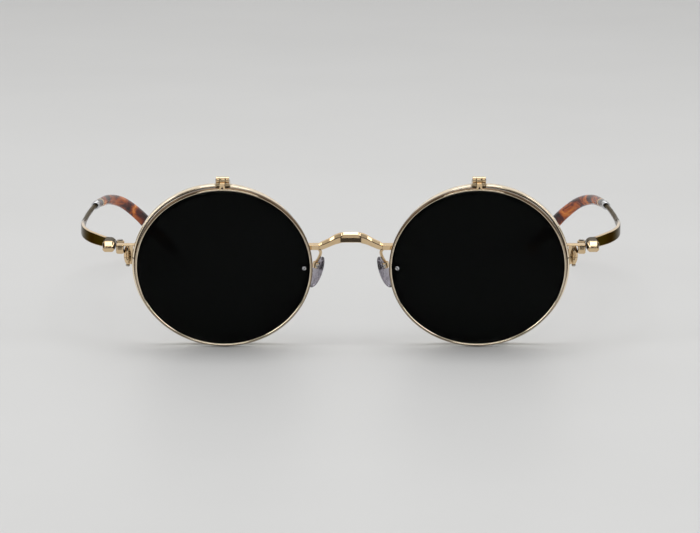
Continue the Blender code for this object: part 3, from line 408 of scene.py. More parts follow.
# places across a rim wire's crown, from the lens outwards
crown_shares = (-1, -0.92, -0.78, -0.6, -0.36, -0.16, 0, 0.16, 0.36, 0.6, 0.78, 0.92, 1)


def on_ring(half, angle, outward):
    """A point this far outside a lens's edge."""
    spot = Vector((half[0] * math.cos(angle), 0, half[1] * math.sin(angle)))
    square = Vector((half[1] * math.cos(angle), 0, half[0] * math.sin(angle))).normalized()
    return spot + square * outward


def rim_section(outer, half_depth, crown, groove, line=0.0):
    """A rim wire's section: crowned in front and behind, flat outside, grooved inside. A fine line
    of this depth can run along its crown."""
    middle, half_wall = (outer - rim_lap) / 2, (outer + rim_lap) / 2
    front_curve = []
    for share in crown_shares:
        depth = half_depth - crown * abs(share) ** 2.2 - (line if share == 0 else 0)
        front_curve.append((middle + share * half_wall, -depth))
    back_curve = [(out, -depth) for out, depth in reversed(front_curve)]
    inside = [(-rim_lap, groove), (0.2 * mm, 0), (-rim_lap, -groove)]
    return front_curve + back_curve + inside


def rim_wire(half, centre, section, side, painted_shade_sides, slit=None):
    """A ring of wire round a lens, closed, or slit at an angle and this wide. The sides of its
    section from one number to another take the second material, painted shade."""
    mesh, loops = bmesh.new(), []
    at, width = slit or (0.0, 0.0)
    start, span = at + width / (2 * half[0]), math.tau - width / half[0]
    for i in range(ring_steps + bool(slit)):
        angle, loop = start + span * i / ring_steps, []
        for outward, back in section:
            spot = on_ring(half, angle, outward)
            loop.append(mesh.verts.new(centre + Vector((side * spot.x, back, spot.z))))
        loops.append(loop)
    skin(mesh, loops, closed=not slit, capped=bool(slit))
    # the faces in the given range of the section take the second material, the painted shade
    for i, face in enumerate(mesh.faces):
        on_side = len(face.verts) == 4 and i % len(section) in range(*painted_shade_sides)
        face.material_index = int(on_side)
    return mesh


# the rims' lit and shaded copies of the gold: a paler gold painted as the lit side, whose occlusion
# reaches a millimetre so the main rim is painted darker behind the flip, and a dark brown painted
# as shade
rim_painted_lit_gold = metal(
    "rim_painted_lit_gold", (0.96, 0.84, 0.66), (0.90, 0.77, 0.58), 0.05, 0.13, (0.05, 0.028, 0.012), 1.0 * mm
)
rim_painted_shade = metal("rim_painted_shade", (0.17, 0.11, 0.06), (0.12, 0.075, 0.04), 0.10, 0.22)
main_section = rim_section(rim_outer, rim_half_depth, main_crown, main_groove)
slit = (math.asin(slit_rise / rim_top), slit_width)
for hand, side in hands:
    mesh = rim_wire(lens_half, Vector((side * lens_at, 0, 0)), main_section, side, main_painted_shade, slit)
    set_in(mesh, "rim_wire", "main_rim", hand, "front", "polished_gold", rim_painted_lit_gold, rim_painted_shade)


# The clear lenses: ground lenses of optical plastic, domed forward, with a bevel all round that
# sits in the rim's groove. Hard coated, so they are glassy smooth, with a trace of handling.
lens_thickness, lens_dome, lens_bevel = 1.2 * mm, 1.9 * mm, 0.6 * mm
lens_shares = (0.12, 0.25, 0.38, 0.5, 0.61, 0.71, 0.80, 0.88, 0.94)


def lens_mesh(half, centre, thickness, dome):
    """A lens: two domed faces and the bevel between them."""
    mesh = bmesh.new()
    angles = [math.tau * i / ring_steps for i in range(ring_steps)]

    def loop(share, inset, back):
        size = (half[0] * share, half[1] * share)
        spots = [centre + on_ring(size, a, -inset) + Vector((0, back, 0)) for a in angles]
        return [mesh.verts.new(spot) for spot in spots]

    thin = thickness / 2
    front_loops = [loop(s, 0, -thin - dome * (1 - s * s)) for s in lens_shares]
    back_loops = [loop(s, 0, thin - dome * (1 - s * s)) for s in lens_shares]
    edge = [loop(1, lens_bevel, -thin), loop(1, 0, 0), loop(1, lens_bevel, thin)]
    skin(mesh, [*front_loops, *edge, *reversed(back_loops)])
    for ring, place in ((front_loops[0], -thin - dome), (back_loops[0], thin - dome)):
        middle = mesh.verts.new(centre + Vector((0, place, 0)))
        for i in range(ring_steps):
            mesh.faces.new((ring[i], ring[(i + 1) % ring_steps], middle))
    return mesh


def glass(name, tint, light_through, smooth, rough, bend=1.5, clear=1.0):
    """A see-through material that lets the lamps shine on through it."""
    made, tree, shader = new_material(name)
    feed(shader, Base_Color=(*tint, 1.0), Transmission_Weight=clear, IOR=bend)
    handled = noise(tree, 120.0, 5.0, (1.0, 1.0, 0.5))
    feed(shader, Roughness=spread(tree, handled, smooth, rough))
    shadow = node(tree, "ShaderNodeLightPath").outputs["Is Shadow Ray"]
    passing = node(tree, "ShaderNodeBsdfTransparent", Color=(*light_through, 1.0))
    shaders = (shader.outputs[0], passing.outputs[0])
    both = node(tree, "ShaderNodeMixShader", (), shadow, *shaders)
    out = next(n for n in tree.nodes if n.type == "OUTPUT_MATERIAL")
    feed(out, Surface=both.outputs[0])
    return made, tree, shader


clear_lens, _, _ = glass("clear_lens", (0.97, 0.985, 0.975), (0.93, 0.95, 0.94), 0.0, 0.004)
for hand, side in hands:
    mesh = lens_mesh(lens_half, Vector((side * lens_at, 0, 0)), lens_thickness, lens_dome)
    set_in(mesh, "ground_lens", "clear_lens", hand, "front", "clear_lens", clear_lens)


# The flip hinges: a bent foot soldered on top of each main rim with two ears that flare a little,
# and the flip's own knuckle between them on a riveted pin. The knuckle stands astride its rim on
# two thin, spread legs.
flip_at, flip_forward, flip_rise = 34.5 * mm, -4.0 * mm, 0.5 * mm
flip_half = (23.5 * mm, 22.0 * mm)
flip_outer, flip_half_depth = 0.65 * mm, 0.9 * mm
knuckle_radius, knuckle_half, ear_width = 0.95 * mm, 0.65 * mm, 1.1 * mm
knuckle_gap, pin_radius, bore_room = 0.12 * mm, 0.42 * mm, 0.05 * mm
ears_half = knuckle_half + knuckle_gap + ear_width
ear_top, ear_foot = 1.74 * mm, 2.06 * mm
foot_low, foot_back, foot_thickness = rim_top - 0.06 * mm, rim_half_depth * 0.8, 0.6 * mm
leg_top = flip_half[1] + flip_outer + flip_rise + 0.7 * mm
leg_foot = flip_half[1] + flip_outer + flip_rise - 0.25 * mm
leg_spread, leg_width, leg_toe = 0.72 * mm, 0.34 * mm, 0.12 * mm
leg_front, leg_back, leg_lap = flip_forward - 0.55 * mm, flip_forward + 0.55 * mm, 0.42 * mm
rivet_height, rivet_radius = 0.2 * mm, pin_radius * 1.25
rivet_rows = ((0.0, 1.0), (0.35, 0.98), (0.62, 0.85), (0.85, 0.6), (1.0, 0.25))
axis_y, axis_z = flip_axis.y, flip_axis.z


def arc(radius, start, end, steps, centre=(0.0, 0.0)):
    """The points of an arc; the angles are in degrees."""
    turns = [math.radians(start + (end - start) * i / steps) for i in range(steps + 1)]
    return [(centre[0] + radius * math.cos(a), centre[1] + radius * math.sin(a)) for a in turns]


def worked(mesh, other, operation):
    """The mesh with the other one added to it (UNION) or cut out of it (DIFFERENCE)."""
    objects = []
    for shape in (mesh, other):
        bmesh.ops.recalc_face_normals(shape, faces=shape.faces)
        data = bpy.data.meshes.new("bench_work")
        shape.to_mesh(data)
        shape.free()
        objects.append(stand("bench_work", data))
    tool = objects[0].modifiers.new("bench_work", "BOOLEAN")
    tool.operation, tool.solver, tool.object = operation, "EXACT", objects[1]
    bpy.context.view_layer.update()
    shaped = objects[0].evaluated_get(bpy.context.evaluated_depsgraph_get())
    result = bmesh.new()
    result.from_mesh(shaped.data)
    for used in objects:
        bpy.data.objects.remove(used)
    return result


def ring_points(radius, steps):
    """A round section."""
    turns = [math.tau * i / steps for i in range(steps)]
    return [(radius * math.cos(a), radius * math.sin(a)) for a in turns]


def turned(profile, place, steps=40, slot=None):
    """A turned piece on the z axis of its place, its profile as (along, radius) rows from its tail
    to its head. A slot of (width, depth, turn in degrees) is cut across the head."""
    mesh = bmesh.new()
    loops = []
    for along, radius in profile:
        loops.append([mesh.verts.new((a, b, along)) for a, b in ring_points(radius, steps)])
    skin(mesh, loops, capped=True)
    if slot:
        width, depth, turn = slot
        top, reach = profile[-1][0], 4 * max(radius for _, radius in profile)
        blade = bmesh.new()
        bmesh.ops.create_cube(blade, size=1.0)
        bmesh.ops.scale(blade, vec=(reach, width, 2 * depth), verts=blade.verts)
        at = Matrix.Translation((0, 0, top)) @ Matrix.Rotation(math.radians(turn), 4, "Z")
        bmesh.ops.transform(blade, matrix=at, verts=blade.verts)
        mesh = worked(mesh, blade, "DIFFERENCE")
    bmesh.ops.transform(mesh, matrix=place, verts=mesh.verts)
    return mesh


def drilled(mesh, radius, low, high, place, steps=40):
    """The mesh with a round hole through it, along the z axis of a place."""
    return worked(mesh, turned([(low, radius), (high, radius)], place, steps), "DIFFERENCE")


def head(rows, base, height, radius):
    """A screw or rivet head's profile, from rows of its height and radius as shares."""
    return [(base + share * height, wide * radius) for share, wide in rows]


steel = metal("screw_steel", (0.68, 0.66, 0.62), (0.55, 0.53, 0.50), 0.16, 0.32, (0.06, 0.05, 0.04))
sideways = Matrix.Rotation(math.radians(90), 4, "Y")
for hand, side in hands:
    centre = side * flip_at
    at = Matrix.Translation((centre, axis_y, axis_z)) @ sideways
    outline = arc(knuckle_radius, 42, 248, 24, (axis_y, axis_z))
    outline += [(axis_y + knuckle_radius / 2, foot_low), (foot_back, foot_low)]
    outline += [(foot_back, foot_low + foot_thickness)]
    mesh = slab(outline, centre - ears_half, centre + ears_half, through="x")
    room, swing = knuckle_half + knuckle_gap, knuckle_radius + 2 * knuckle_gap
    mesh = drilled(mesh, swing, -room, room, at, 64)
    mesh = drilled(mesh, pin_radius + bore_room, -2 * ears_half, 2 * ears_half, at)
    for vertex in mesh.verts:
        across = vertex.co.x - centre
        if abs(across) > 0.9 * ears_half:
            down = min(max((axis_z - vertex.co.z) / (axis_z - foot_low), 0.0), 1.0)
            flare = ear_top + (ear_foot - ear_top) * down**1.5
            vertex.co.x = centre + math.copysign(flare, across)
    ease(mesh, 0.1 * mm)
    set_in(mesh, "hinge_ears", "flip_hinge_bracket", hand, flat=True)

    rivet = head(rivet_rows, ear_top, rivet_height, rivet_radius)
    shank = [(-ear_top + 0.01 * mm, pin_radius), (ear_top - 0.01 * mm, pin_radius)]
    profile = [(-along, radius) for along, radius in reversed(rivet)] + shank + rivet
    mesh = turned(profile, at)
    set_in(mesh, "hinge_rivet", "flip_hinge_pin", hand, "front", "screw_steel", steel)

    outline = arc(knuckle_radius, -75, 190, 32, (axis_y, axis_z))
    outline += [(leg_front, leg_top + leg_width), (leg_front, leg_top), (leg_back, leg_top)]
    mesh = slab(outline, centre - knuckle_half, centre + knuckle_half, through="x")
    half_legs = [
        (knuckle_half * 0.9, leg_top + leg_width * 0.9),
        (leg_spread + leg_toe, leg_foot),
        (leg_spread - leg_width, leg_foot),
    ]
    legs = [(centre - x, z) for x, z in half_legs] + [(centre, leg_top)]
    legs += [(centre + x, z) for x, z in reversed(half_legs)]
    mesh = worked(mesh, slab(legs, leg_front - leg_lap, leg_back), "UNION")
    mesh = drilled(mesh, pin_radius + bore_room, -2 * ears_half, 2 * ears_half, at)
    ease(mesh, 0.09 * mm)
    set_in(mesh, "flip_knuckle", "flip_saddle", hand, "flip", flat=True)


# The flip rims: closed rings of the same grooved wire, a little lighter. Their front is well
# rounded and painted a paler gold as the lit side, with a fine line rolled in it, and their
# outer side is painted dark brown as shade.
# the range of section sides that take the painted shade
flip_crown, flip_groove, flip_line, flip_painted_shade = 0.40 * mm, 0.45 * mm, 0.1 * mm, (8, 13)
flip_section = rim_section(flip_outer, flip_half_depth, flip_crown, flip_groove, flip_line)
for hand, side in hands:
    centre = Vector((side * flip_at, flip_forward, flip_rise))
    mesh = rim_wire(flip_half, centre, flip_section, side, flip_painted_shade)
    set_in(mesh, "flip_wire", "flip_rim", hand, "flip", "polished_gold", rim_painted_lit_gold, rim_painted_shade)


# The dark lenses: flat-domed lenses of grey-green tinted plastic, nearly black, each drilled near
# the nose for its bumper.
flip_thickness, flip_dome = 1.0 * mm, 1.0 * mm
bumper_inset, shank_radius, bumper_bore = 1.6 * mm, 0.35 * mm, 0.45 * mm
bumper_share = 1 - bumper_inset / flip_half[0]
bumper_y = flip_forward - flip_dome * (1 - bumper_share**2)
bumper_at = flip_at - flip_half[0] + bumper_inset
dark_lens, _, shader = glass(
    "dark_lens", (0.003, 0.0034, 0.0032), (0.03, 0.035, 0.032), 0.0, 0.006, 1.25
)
feed(shader, Specular_Tint=(0.18, 0.18, 0.18, 1.0))
forwards = Matrix.Rotation(math.radians(90), 4, "X")
for hand, side in hands:
    centre = Vector((side * flip_at, flip_forward, flip_rise))
    mesh = lens_mesh(flip_half, centre, flip_thickness, flip_dome)
    at = Matrix.Translation((side * bumper_at, bumper_y, flip_rise)) @ forwards
    mesh = drilled(mesh, bumper_bore, -2 * mm, 2 * mm, at, 32)
    set_in(mesh, "tinted_lens", "dark_lens", hand, "flip", "dark_lens", dark_lens)


# The bumpers: a slotted silver-coloured screw through the dark lens near the nose, with a soft
# black rubber cushion behind it that keeps the flip off the main rim.
silver = metal(
    "ferrule_silver", (0.62, 0.63, 0.65), (0.50, 0.51, 0.53), 0.08, 0.20, (0.02, 0.02, 0.02)
)
rubber_shades = [(0.3, (0.022, 0.022, 0.022)), (0.7, (0.05, 0.05, 0.048))]
rubber, tree, shader = new_material("bumper_rubber")
feed(shader, Base_Color=ramp(tree, noise(tree, 1500.0), rubber_shades))
feed(shader, Roughness=spread(tree, noise(tree, 3000.0), 0.45, 0.65))
bump(tree, shader, noise(tree, 5000.0), 0.006 * mm)
seat_front = -bumper_y + flip_thickness / 2 + 0.1 * mm
seat_back = -bumper_y - flip_thickness / 2 - 0.2 * mm
bumper_head, bumper_head_height = 0.62 * mm, 0.5 * mm
bumper_rows = ((0.0, 0.92), (0.12, 1.0), (0.4, 0.98), (0.7, 0.85), (0.92, 0.62), (1.0, 0.42))
cushion_radius, cushion_back = 0.8 * mm, rim_half_depth + 0.4 * mm
tail = (seat_back + cushion_back) / 2
# the cushion's profile: place along the screw, and radius as a share of the cushion's
cushion_rows = (
    (cushion_back + 0.04 * mm, 0.45),
    (cushion_back, 0.62),
    (cushion_back + 0.06 * mm, 0.84),
    (cushion_back + 0.2 * mm, 0.97),
    (cushion_back + 0.4 * mm, 1.0),
    (seat_back - 0.1 * mm, 1.0),
    (seat_back, 0.93),
)
for hand, side in hands:
    at = Matrix.Translation((side * bumper_at, 0, flip_rise)) @ forwards
    profile = [(tail, shank_radius * 0.9), (tail + 0.05 * mm, shank_radius)]
    profile += [(seat_front, shank_radius)]
    profile += head(bumper_rows, seat_front, bumper_head_height, bumper_head)
    mesh = turned(profile, at, 48, (0.24 * mm, 0.3 * mm, -50 * side))
    set_in(mesh, "bumper_screw", "bumper_peg", hand, "flip", "ferrule_silver", silver)

    profile = [(along, cushion_radius * wide) for along, wide in cushion_rows]
    mesh = turned([*profile, (seat_back, bumper_bore)], at)
    mesh = drilled(mesh, bumper_bore, tail - 0.2 * mm, seat_back + mm, at)
    set_in(mesh, "bumper_pad", "bumper_cushion", hand, "flip", "bumper_rubber", rubber)


# The nose pads: a bent wire arm from the back of each bridge block carries a small open box,
# and a screw through the box holds the stem of a soft clear silicone pad, which can rock on it.
# The pad is short above its box, and leans and curves away below it.
pad_axis = Vector((9.455, 5.8, -2.2)) * mm
pad_toe_in, pad_slope = math.radians(20), math.radians(15)
arm_radius, arm_swell = 0.42 * mm, 0.25
# the arm's bends: outward as a share of the box's width, back and down as shares of the way
arm_bends = ((-0.10, 0.20, 0.06), (-0.50, 0.42, 0.22), (-0.90, 0.62, 0.45), (-0.65, 0.86, 0.78))
box_back, box_mouth, box_wall, box_corner = 0.9 * mm, 0.4 * mm, 0.45 * mm, 0.3 * mm
box_width, box_height = 2.0 * mm, 1.6 * mm
pin, pin_head, pin_head_height, pin_sink = 0.3 * mm, 0.55 * mm, 0.35 * mm, 0.08 * mm
pin_rows = ((0.0, 0.94), (0.1, 1.0), (0.5, 0.98), (0.8, 0.86), (1.0, 0.66))
stem_eye, stem_neck, stem_foot = 0.6 * mm, 0.7 * mm, 2.0 * mm
stem_plate, stem_bury, stem_pocket = 0.45 * mm, 0.45 * mm, 0.1 * mm
pad_length, pad_width, pad_thickness = 9.0 * mm, 6.1 * mm, 1.4 * mm
pad_drop, pad_standoff = 2.0 * mm, 1.25 * mm
pad_full, pad_taper = 0.05, 0.14
pad_set_back, pad_lean, pad_level = 0.22 * mm, 0.75 * mm, 0.44
pad_curve, curve_below = 0.35 * mm, -0.3


def wire_frames(line, level=False):
    """Frames along a line, their Y along it. Their X stays level, or turns as little as it can."""
    frames, across = [], None
    for i, spot in enumerate(line):
        heading = (line[min(i + 1, len(line) - 1)] - line[max(i - 1, 0)]).normalized()
        if level or across is None:
            across = heading.cross(Vector((0, 0, 1))).normalized()
        if not level:
            across = (across - heading * across.dot(heading)).normalized()
        turn = Matrix((across, heading, across.cross(heading))).transposed()
        frames.append(Matrix.LocRotScale(spot, turn, None))
    return frames


def stem_outline(margin):
    """The stem seen along its screw: an eye, a neck and a foot, grown by a margin."""
    foot_outer = pad_standoff - pad_thickness / 2 + stem_bury - margin
    foot_inner = foot_outer + stem_plate + 2 * margin
    neck, foot = stem_neck / 2 + margin, stem_foot / 2 + margin
    lean_in = math.degrees(math.asin(neck / stem_eye)) if neck < stem_eye else 89
    outline = arc(stem_eye, -180 + lean_in, 180 - lean_in, 24)
    outline += [(-foot_outer, neck), (-foot_outer, foot), (-foot_inner, foot)]
    outline += [(-foot_inner, -foot), (-foot_outer, -foot), (-foot_outer, -neck)]
    return outline


silicone, tree, shader = glass(
    "pad_silicone", (0.34, 0.32, 0.37), (0.55, 0.53, 0.58), 0.05, 0.12, 1.41, 0.92
)
bump(tree, shader, noise(tree, 1200.0), 0.004 * mm)
for hand, side in hands:
    start = Vector((bridge_end + block_height, block_depth / 2 - 0.15 * mm, foot_rise))
    box_top = Vector((pad_axis.x, pad_axis.y, pad_axis.z + box_height / 2))
    reach = box_top - start
    points = [start]
    for out, back, down in arm_bends:
        points.append(start + Vector((out * box_width, reach.y * back, reach.z * down)))
    points.append(box_top + Vector((0, 0, arm_radius * 0.3)))
    line = [Vector((side * p.x, p.y, p.z)) for p in smooth_rows(points, 10)]
    sizes = [arm_radius * (1 + arm_swell * max(0, 1 - i / 4)) for i in range(len(line))]
    mesh = drawn(wire_frames(line), [ring_points(size, 20) for size in sizes])
    set_in(mesh, "arm_wire", "pad_arm", hand)

    turn = Matrix.Rotation(-side * pad_toe_in, 4, "Z") @ Matrix.Rotation(-side * pad_slope, 4, "Y")
    at = front @ Matrix.Translation((side * pad_axis.x, pad_axis.y, pad_axis.z)) @ turn
    half, web = box_width / 2, box_back - box_wall / 2
    outline = [
        (-box_mouth, -half),
        (box_back - box_corner, -half),
        (box_back, -half + box_corner),
        (box_back, half - box_corner),
        (box_back - box_corner, half),
        (-box_mouth, half),
        (-box_mouth, half - box_wall),
        (web, half - box_wall),
        (web, -half + box_wall),
        (-box_mouth, -half + box_wall),
    ]
    mesh = slab(outline, -box_height / 2, box_height / 2, side, "z")
    mesh = drilled(mesh, pin + bore_room, -2 * mm, 2 * mm, forwards)
    ease(mesh, 0.08 * mm)
    set_in(mesh, "arm_box", "pad_box", hand, place=at, flat=True)

    end = half + 0.1 * mm
    profile = [(-end, pin * 0.8), (-end + 0.05 * mm, pin), (end - pin_sink, pin)]
    profile += head(pin_rows, end - pin_sink, pin_head_height, pin_head)
    mesh = turned(profile, forwards, 40, (0.16 * mm, 0.15 * mm, 25))
    set_in(mesh, "box_screw", "pad_screw", hand, "front", "screw_steel", steel, place=at)

    eye_half = half - box_wall - knuckle_gap
    mesh = slab(stem_outline(0), -eye_half, eye_half, side)
    mesh = drilled(mesh, pin + bore_room, -2 * mm, 2 * mm, forwards)
    ease(mesh, 0.07 * mm)
    set_in(mesh, "pad_shank", "pad_stem", hand, "pad", "screw_steel", steel, place=at, flat=True)

    mesh = bmesh.new()
    bmesh.ops.create_uvsphere(mesh, u_segments=56, v_segments=32, radius=1.0)
    for vertex in mesh.verts:
        x, y, z = vertex.co
        rim = max(0.0, 1 - x * x)
        fuller, taper = 1 + pad_full * rim * (1 - rim) * 4, 1 - pad_taper * z
        curve = pad_curve * max(0.0, curve_below - z) ** 2
        curve = pad_set_back + pad_lean * (pad_level - z) + curve
        out = side * (x * pad_thickness / 2 - pad_standoff + curve)
        deep, up = y * taper * fuller * pad_width / 2, z * fuller * pad_length / 2 - pad_drop
        vertex.co = Vector((out, deep, up))
    pocket_half = eye_half + stem_pocket
    pocket = slab(stem_outline(stem_pocket), -pocket_half, pocket_half, side)
    mesh = worked(mesh, pocket, "DIFFERENCE")
    set_in(mesh, "silicone_pad", "nose_pad", hand, "pad", "pad_silicone", silicone, place=at)


# The endpieces: a slim bar soldered to the rim's temple side, bent into the block that carries
# the hinge. The block's front is filed to a low roof, and all of it is polished with the rim.
end_rise, end_bar, end_height, end_depth = 5.8 * mm, 0.42 * mm, 2.4 * mm, 2.2 * mm
bar_front, bar_back, bar_bury = 0.75 * mm, 0.95 * mm, 0.3 * mm
end_block, end_face, end_nip = 61.85 * mm, 63.75 * mm, 0.25 * mm
block_lap, block_grown = 0.2 * mm, 0.1 * mm
# how far the block's roof stands before its front, and its width and height there, as shares
roof_rows = ((0.12 * mm, 0.97, 0.93), (0.4 * mm, 0.86, 0.02))


def filed_box(width, height, share, easing):
    """A rectangle's section with its corners filed flat and every edge eased a little."""
    nip = min(width, height) * share
    a, b = width / 2, height / 2
    corners = [(a, -b + nip), (a, b - nip), (a - nip, b), (-a + nip, b)]
    corners += [(-x, -y) for x, y in corners]
    eased = []
    for i, corner in enumerate(corners):
        for other in (corners[i - 1], corners[(i + 1) % len(corners)]):
            length = math.dist(corner, other)
            step = min(nip * easing, length / 3) / length
            eased.append(tuple(c + (o - c) * step for c, o in zip(corner, other)))
    return eased


for hand, side in hands:
    bar_low = end_rise - end_bar
    outline = [
        (rim_edge(end_rise + fillet, 1) - bar_bury, end_rise + fillet),
        (rim_edge(end_rise, 1) - bar_bury, bar_low - fillet / 2),
        (rim_edge(bar_low, 1) + fillet, bar_low),
        (end_block - end_nip, bar_low),
        (end_block, bar_low - end_nip),
        (end_block, end_rise - end_height),
        (end_face, end_rise - end_height),
        (end_face, end_rise),
        (rim_edge(end_rise, 1) + fillet, end_rise),
    ]
    mesh = ease(slab(outline, -bar_front, bar_back, side), 0.12 * mm, 3, 25)
    middle = side * (end_face + end_block - block_lap) / 2, end_rise - end_height / 2
    section = filed_box(end_face - end_block + block_lap, end_height + block_grown, 0.16, 0.2)
    rows = [(end_depth / 2, 1, 1), (-end_depth / 2, 1, 1)]
    rows += [(-end_depth / 2 - before, wide, high) for before, wide, high in roof_rows]
    frames = [Matrix.Translation((middle[0], y, middle[1])) for y, _, _ in rows]
    sections = [[(a * wide, b * high) for a, b in section] for _, wide, high in rows]
    mesh = worked(mesh, drawn(frames, sections), "UNION")
    set_in(mesh, "end_lug", "endpiece", hand, sharp=30, flat=True)


# The rim locks: a turned bead in two halves, soldered by thin webs to the rim on either side of
# its slit, with a hollow in its front. A slotted screw from below draws the halves together.
lock_at, lock_bead, lock_web, lock_gap = 60.7 * mm, 1.08 * mm, 0.4 * mm, 0.1 * mm
lock_top, lock_bottom = end_rise - end_bar - 0.05 * mm, slit_rise - slit_width / 2 - 2.1 * mm
lock_middle, lock_reach = (lock_top + lock_bottom) / 2, (lock_top - lock_bottom) / 2
bead_steps, bead_taper, web_share = 14, 0.62, 0.9
# how far in from its two ends a half is nipped, and by how much
near_nip, far_nip = (0.03 * mm, 0.04 * mm), (0.05 * mm, 0.08 * mm)
hollow_half, hollow_up, hollow_before = (0.34 * mm, 0.36 * mm, 1.6 * mm), 0.2 * mm, 0.04 * mm
lock_screw, lock_head, lock_head_height = 0.35 * mm, 0.62 * mm, 0.45 * mm
lock_rows = ((0.0, 0.94), (0.1, 1.0), (0.5, 0.97), (0.8, 0.84), (1.0, 0.6))
lock_halves = (
    ("upper", slit_rise + slit_width / 2, lock_top, -1),
    ("lower", slit_rise - slit_width / 2, lock_bottom, 1),
)
for hand, side in hands:
    at = Matrix.Translation((side * lock_at, 0, 0))
    for half_name, split_at, far, toward in lock_halves:
        near = split_at + toward * lock_gap
        profile = []
        for i in range(bead_steps + 1):
            z = near + (far - near) * i / bead_steps
            share = abs(z - lock_middle) / lock_reach
            profile.append((z, lock_bead * (1 - bead_taper * share**2.2)))
        profile.insert(0, (near + toward * near_nip[0], profile[0][1] - near_nip[1]))
        profile.append((far - toward * far_nip[0], profile[-1][1] - far_nip[1]))
        profile.sort()
        mesh = turned(profile, at, 56)
        web_low, web_high = sorted((near, near + (far - near) * web_share))
        inner = rim_edge((web_low + web_high) / 2, 1) - 0.05 * mm
        outline = [(inner, web_low), (lock_at, web_low), (lock_at, web_high), (inner, web_high)]
        mesh = worked(mesh, slab(outline, -lock_web, lock_web, side), "UNION")
        hollow = bmesh.new()
        bmesh.ops.create_uvsphere(hollow, u_segments=40, v_segments=28, radius=1.0)
        bmesh.ops.scale(hollow, vec=hollow_half, verts=hollow.verts)
        dent = Vector((side * lock_at, -lock_bead - hollow_before, lock_middle + hollow_up))
        bmesh.ops.translate(hollow, vec=dent, verts=hollow.verts)
        mesh = worked(mesh, hollow, "DIFFERENCE")
        low, high = sorted((split_at, far))
        mesh = drilled(mesh, lock_screw + bore_room, low - mm, high + mm, at)
        set_in(mesh, f"lock_barrel_{half_name}", f"rim_lock_{half_name}", hand, flat=True)
    under = -lock_bottom + 0.1 * mm
    profile = [(-lock_top + lock_screw, lock_screw * 0.8)]
    profile += [(-lock_top + lock_screw * 1.3, lock_screw), (under, lock_screw)]
    profile += head(lock_rows, under, lock_head_height, lock_head)
    down = at @ Matrix.Rotation(math.radians(180), 4, "X")
    mesh = turned(profile, down, 40, (0.18 * mm, 0.2 * mm, 70 * side))
    set_in(mesh, "lock_bolt", "rim_lock_screw", hand, "front", "screw_steel", steel)


# The temple hinges: a plate with two knuckles on the back of the endpiece, and one knuckle on a
# plate along the temple's block. A slotted screw from above runs through all three.
hinge_axis = Vector((62.9, 3.143, 4.6)) * mm
drop_angle = math.radians(11)
hinge_radius, hinge_knuckle, hinge_half = 1.1 * mm, 0.7 * mm, 1.17 * mm
hinge_swing = hinge_radius + knuckle_gap
plate, plate_length, hinge_outset = 0.4 * mm, 3.4 * mm, 0.85 * mm
block_inner = hinge_radius + 0.2 * mm
hinge_bolt, hinge_head, hinge_head_height = 0.45 * mm, 0.8 * mm, 0.16 * mm
bolt_rows = ((0.0, 0.95), (0.1, 1.0), (0.6, 0.98), (0.85, 0.9), (1.0, 0.75))
upright = Matrix.Identity(4)


def temple_place(side):
    """The frame of a temple's hinge: Z up its screw, Y back along the temple."""
    spot = Vector((side * hinge_axis.x, hinge_axis.y, hinge_axis.z))
    return front @ Matrix.Translation(spot) @ Matrix.Rotation(-drop_angle, 4, "X")


for hand, side in hands:
    at = temple_place(side)
    inner, plate_front = -hinge_radius * 1.1, hinge_swing + plate
    outline = [(inner, -plate_front), (hinge_outset, -plate_front), (hinge_outset, -hinge_swing)]
    outline += arc(hinge_radius, -40, 200, 36)
    outline += [(inner, -hinge_swing)]
    mesh = slab(outline, -hinge_half, hinge_half, side, "z")
    room = hinge_knuckle / 2 + knuckle_gap
    mesh = drilled(mesh, hinge_swing, -room, room, upright, 64)
    mesh = drilled(mesh, hinge_bolt + bore_room, -3 * mm, 3 * mm, upright)
    ease(mesh, 0.08 * mm)
    set_in(mesh, "hinge_knuckles", "front_hinge", hand, place=at, flat=True)

    face = block_inner - 0.05 * mm
    outline = arc(hinge_radius, 60, 335, 40)
    outline += [(face, -hinge_radius * math.sin(math.radians(25))), (face, plate_length)]
    outline += [(face - plate, plate_length)]
    mesh = slab(outline, -hinge_knuckle / 2, hinge_knuckle / 2, side, "z")
    mesh = drilled(mesh, hinge_bolt + bore_room, -3 * mm, 3 * mm, upright)
    ease(mesh, 0.08 * mm)
    set_in(mesh, "hinge_tongue", "temple_hinge", hand, "temple", place=at, flat=True)

    top = hinge_half + 0.1 * mm
    profile = [(-top - hinge_bolt / 2, hinge_bolt * 0.6), (-top, hinge_bolt), (top, hinge_bolt)]
    profile += head(bolt_rows, top, hinge_head_height, hinge_head)
    mesh = turned(profile, upright, 48, (0.22 * mm, 0.15 * mm, 35 * side))
    set_in(mesh, "hinge_bolt", "hinge_screw", hand, "front", "screw_steel", steel, place=at)


# The temples: one piece of gold-coloured metal each, a filed block at the hinge with a low roof
# on its end, rolled down to a flat strip and then drawn out to plain wire, which runs on inside
# the tip. The block, the strip's sides and the wire are painted dark as shade, and the other
# faces are plain gold.
temple_length, bow, curl, tip_drop = 129.0 * mm, 11.6 * mm, 13.0 * mm, 19.0 * mm
temple_block, block_forward = (3.2 * mm, 3.0 * mm), 4.2 * mm
strip, wire = (1.0 * mm, 3.4 * mm), 1.3 * mm
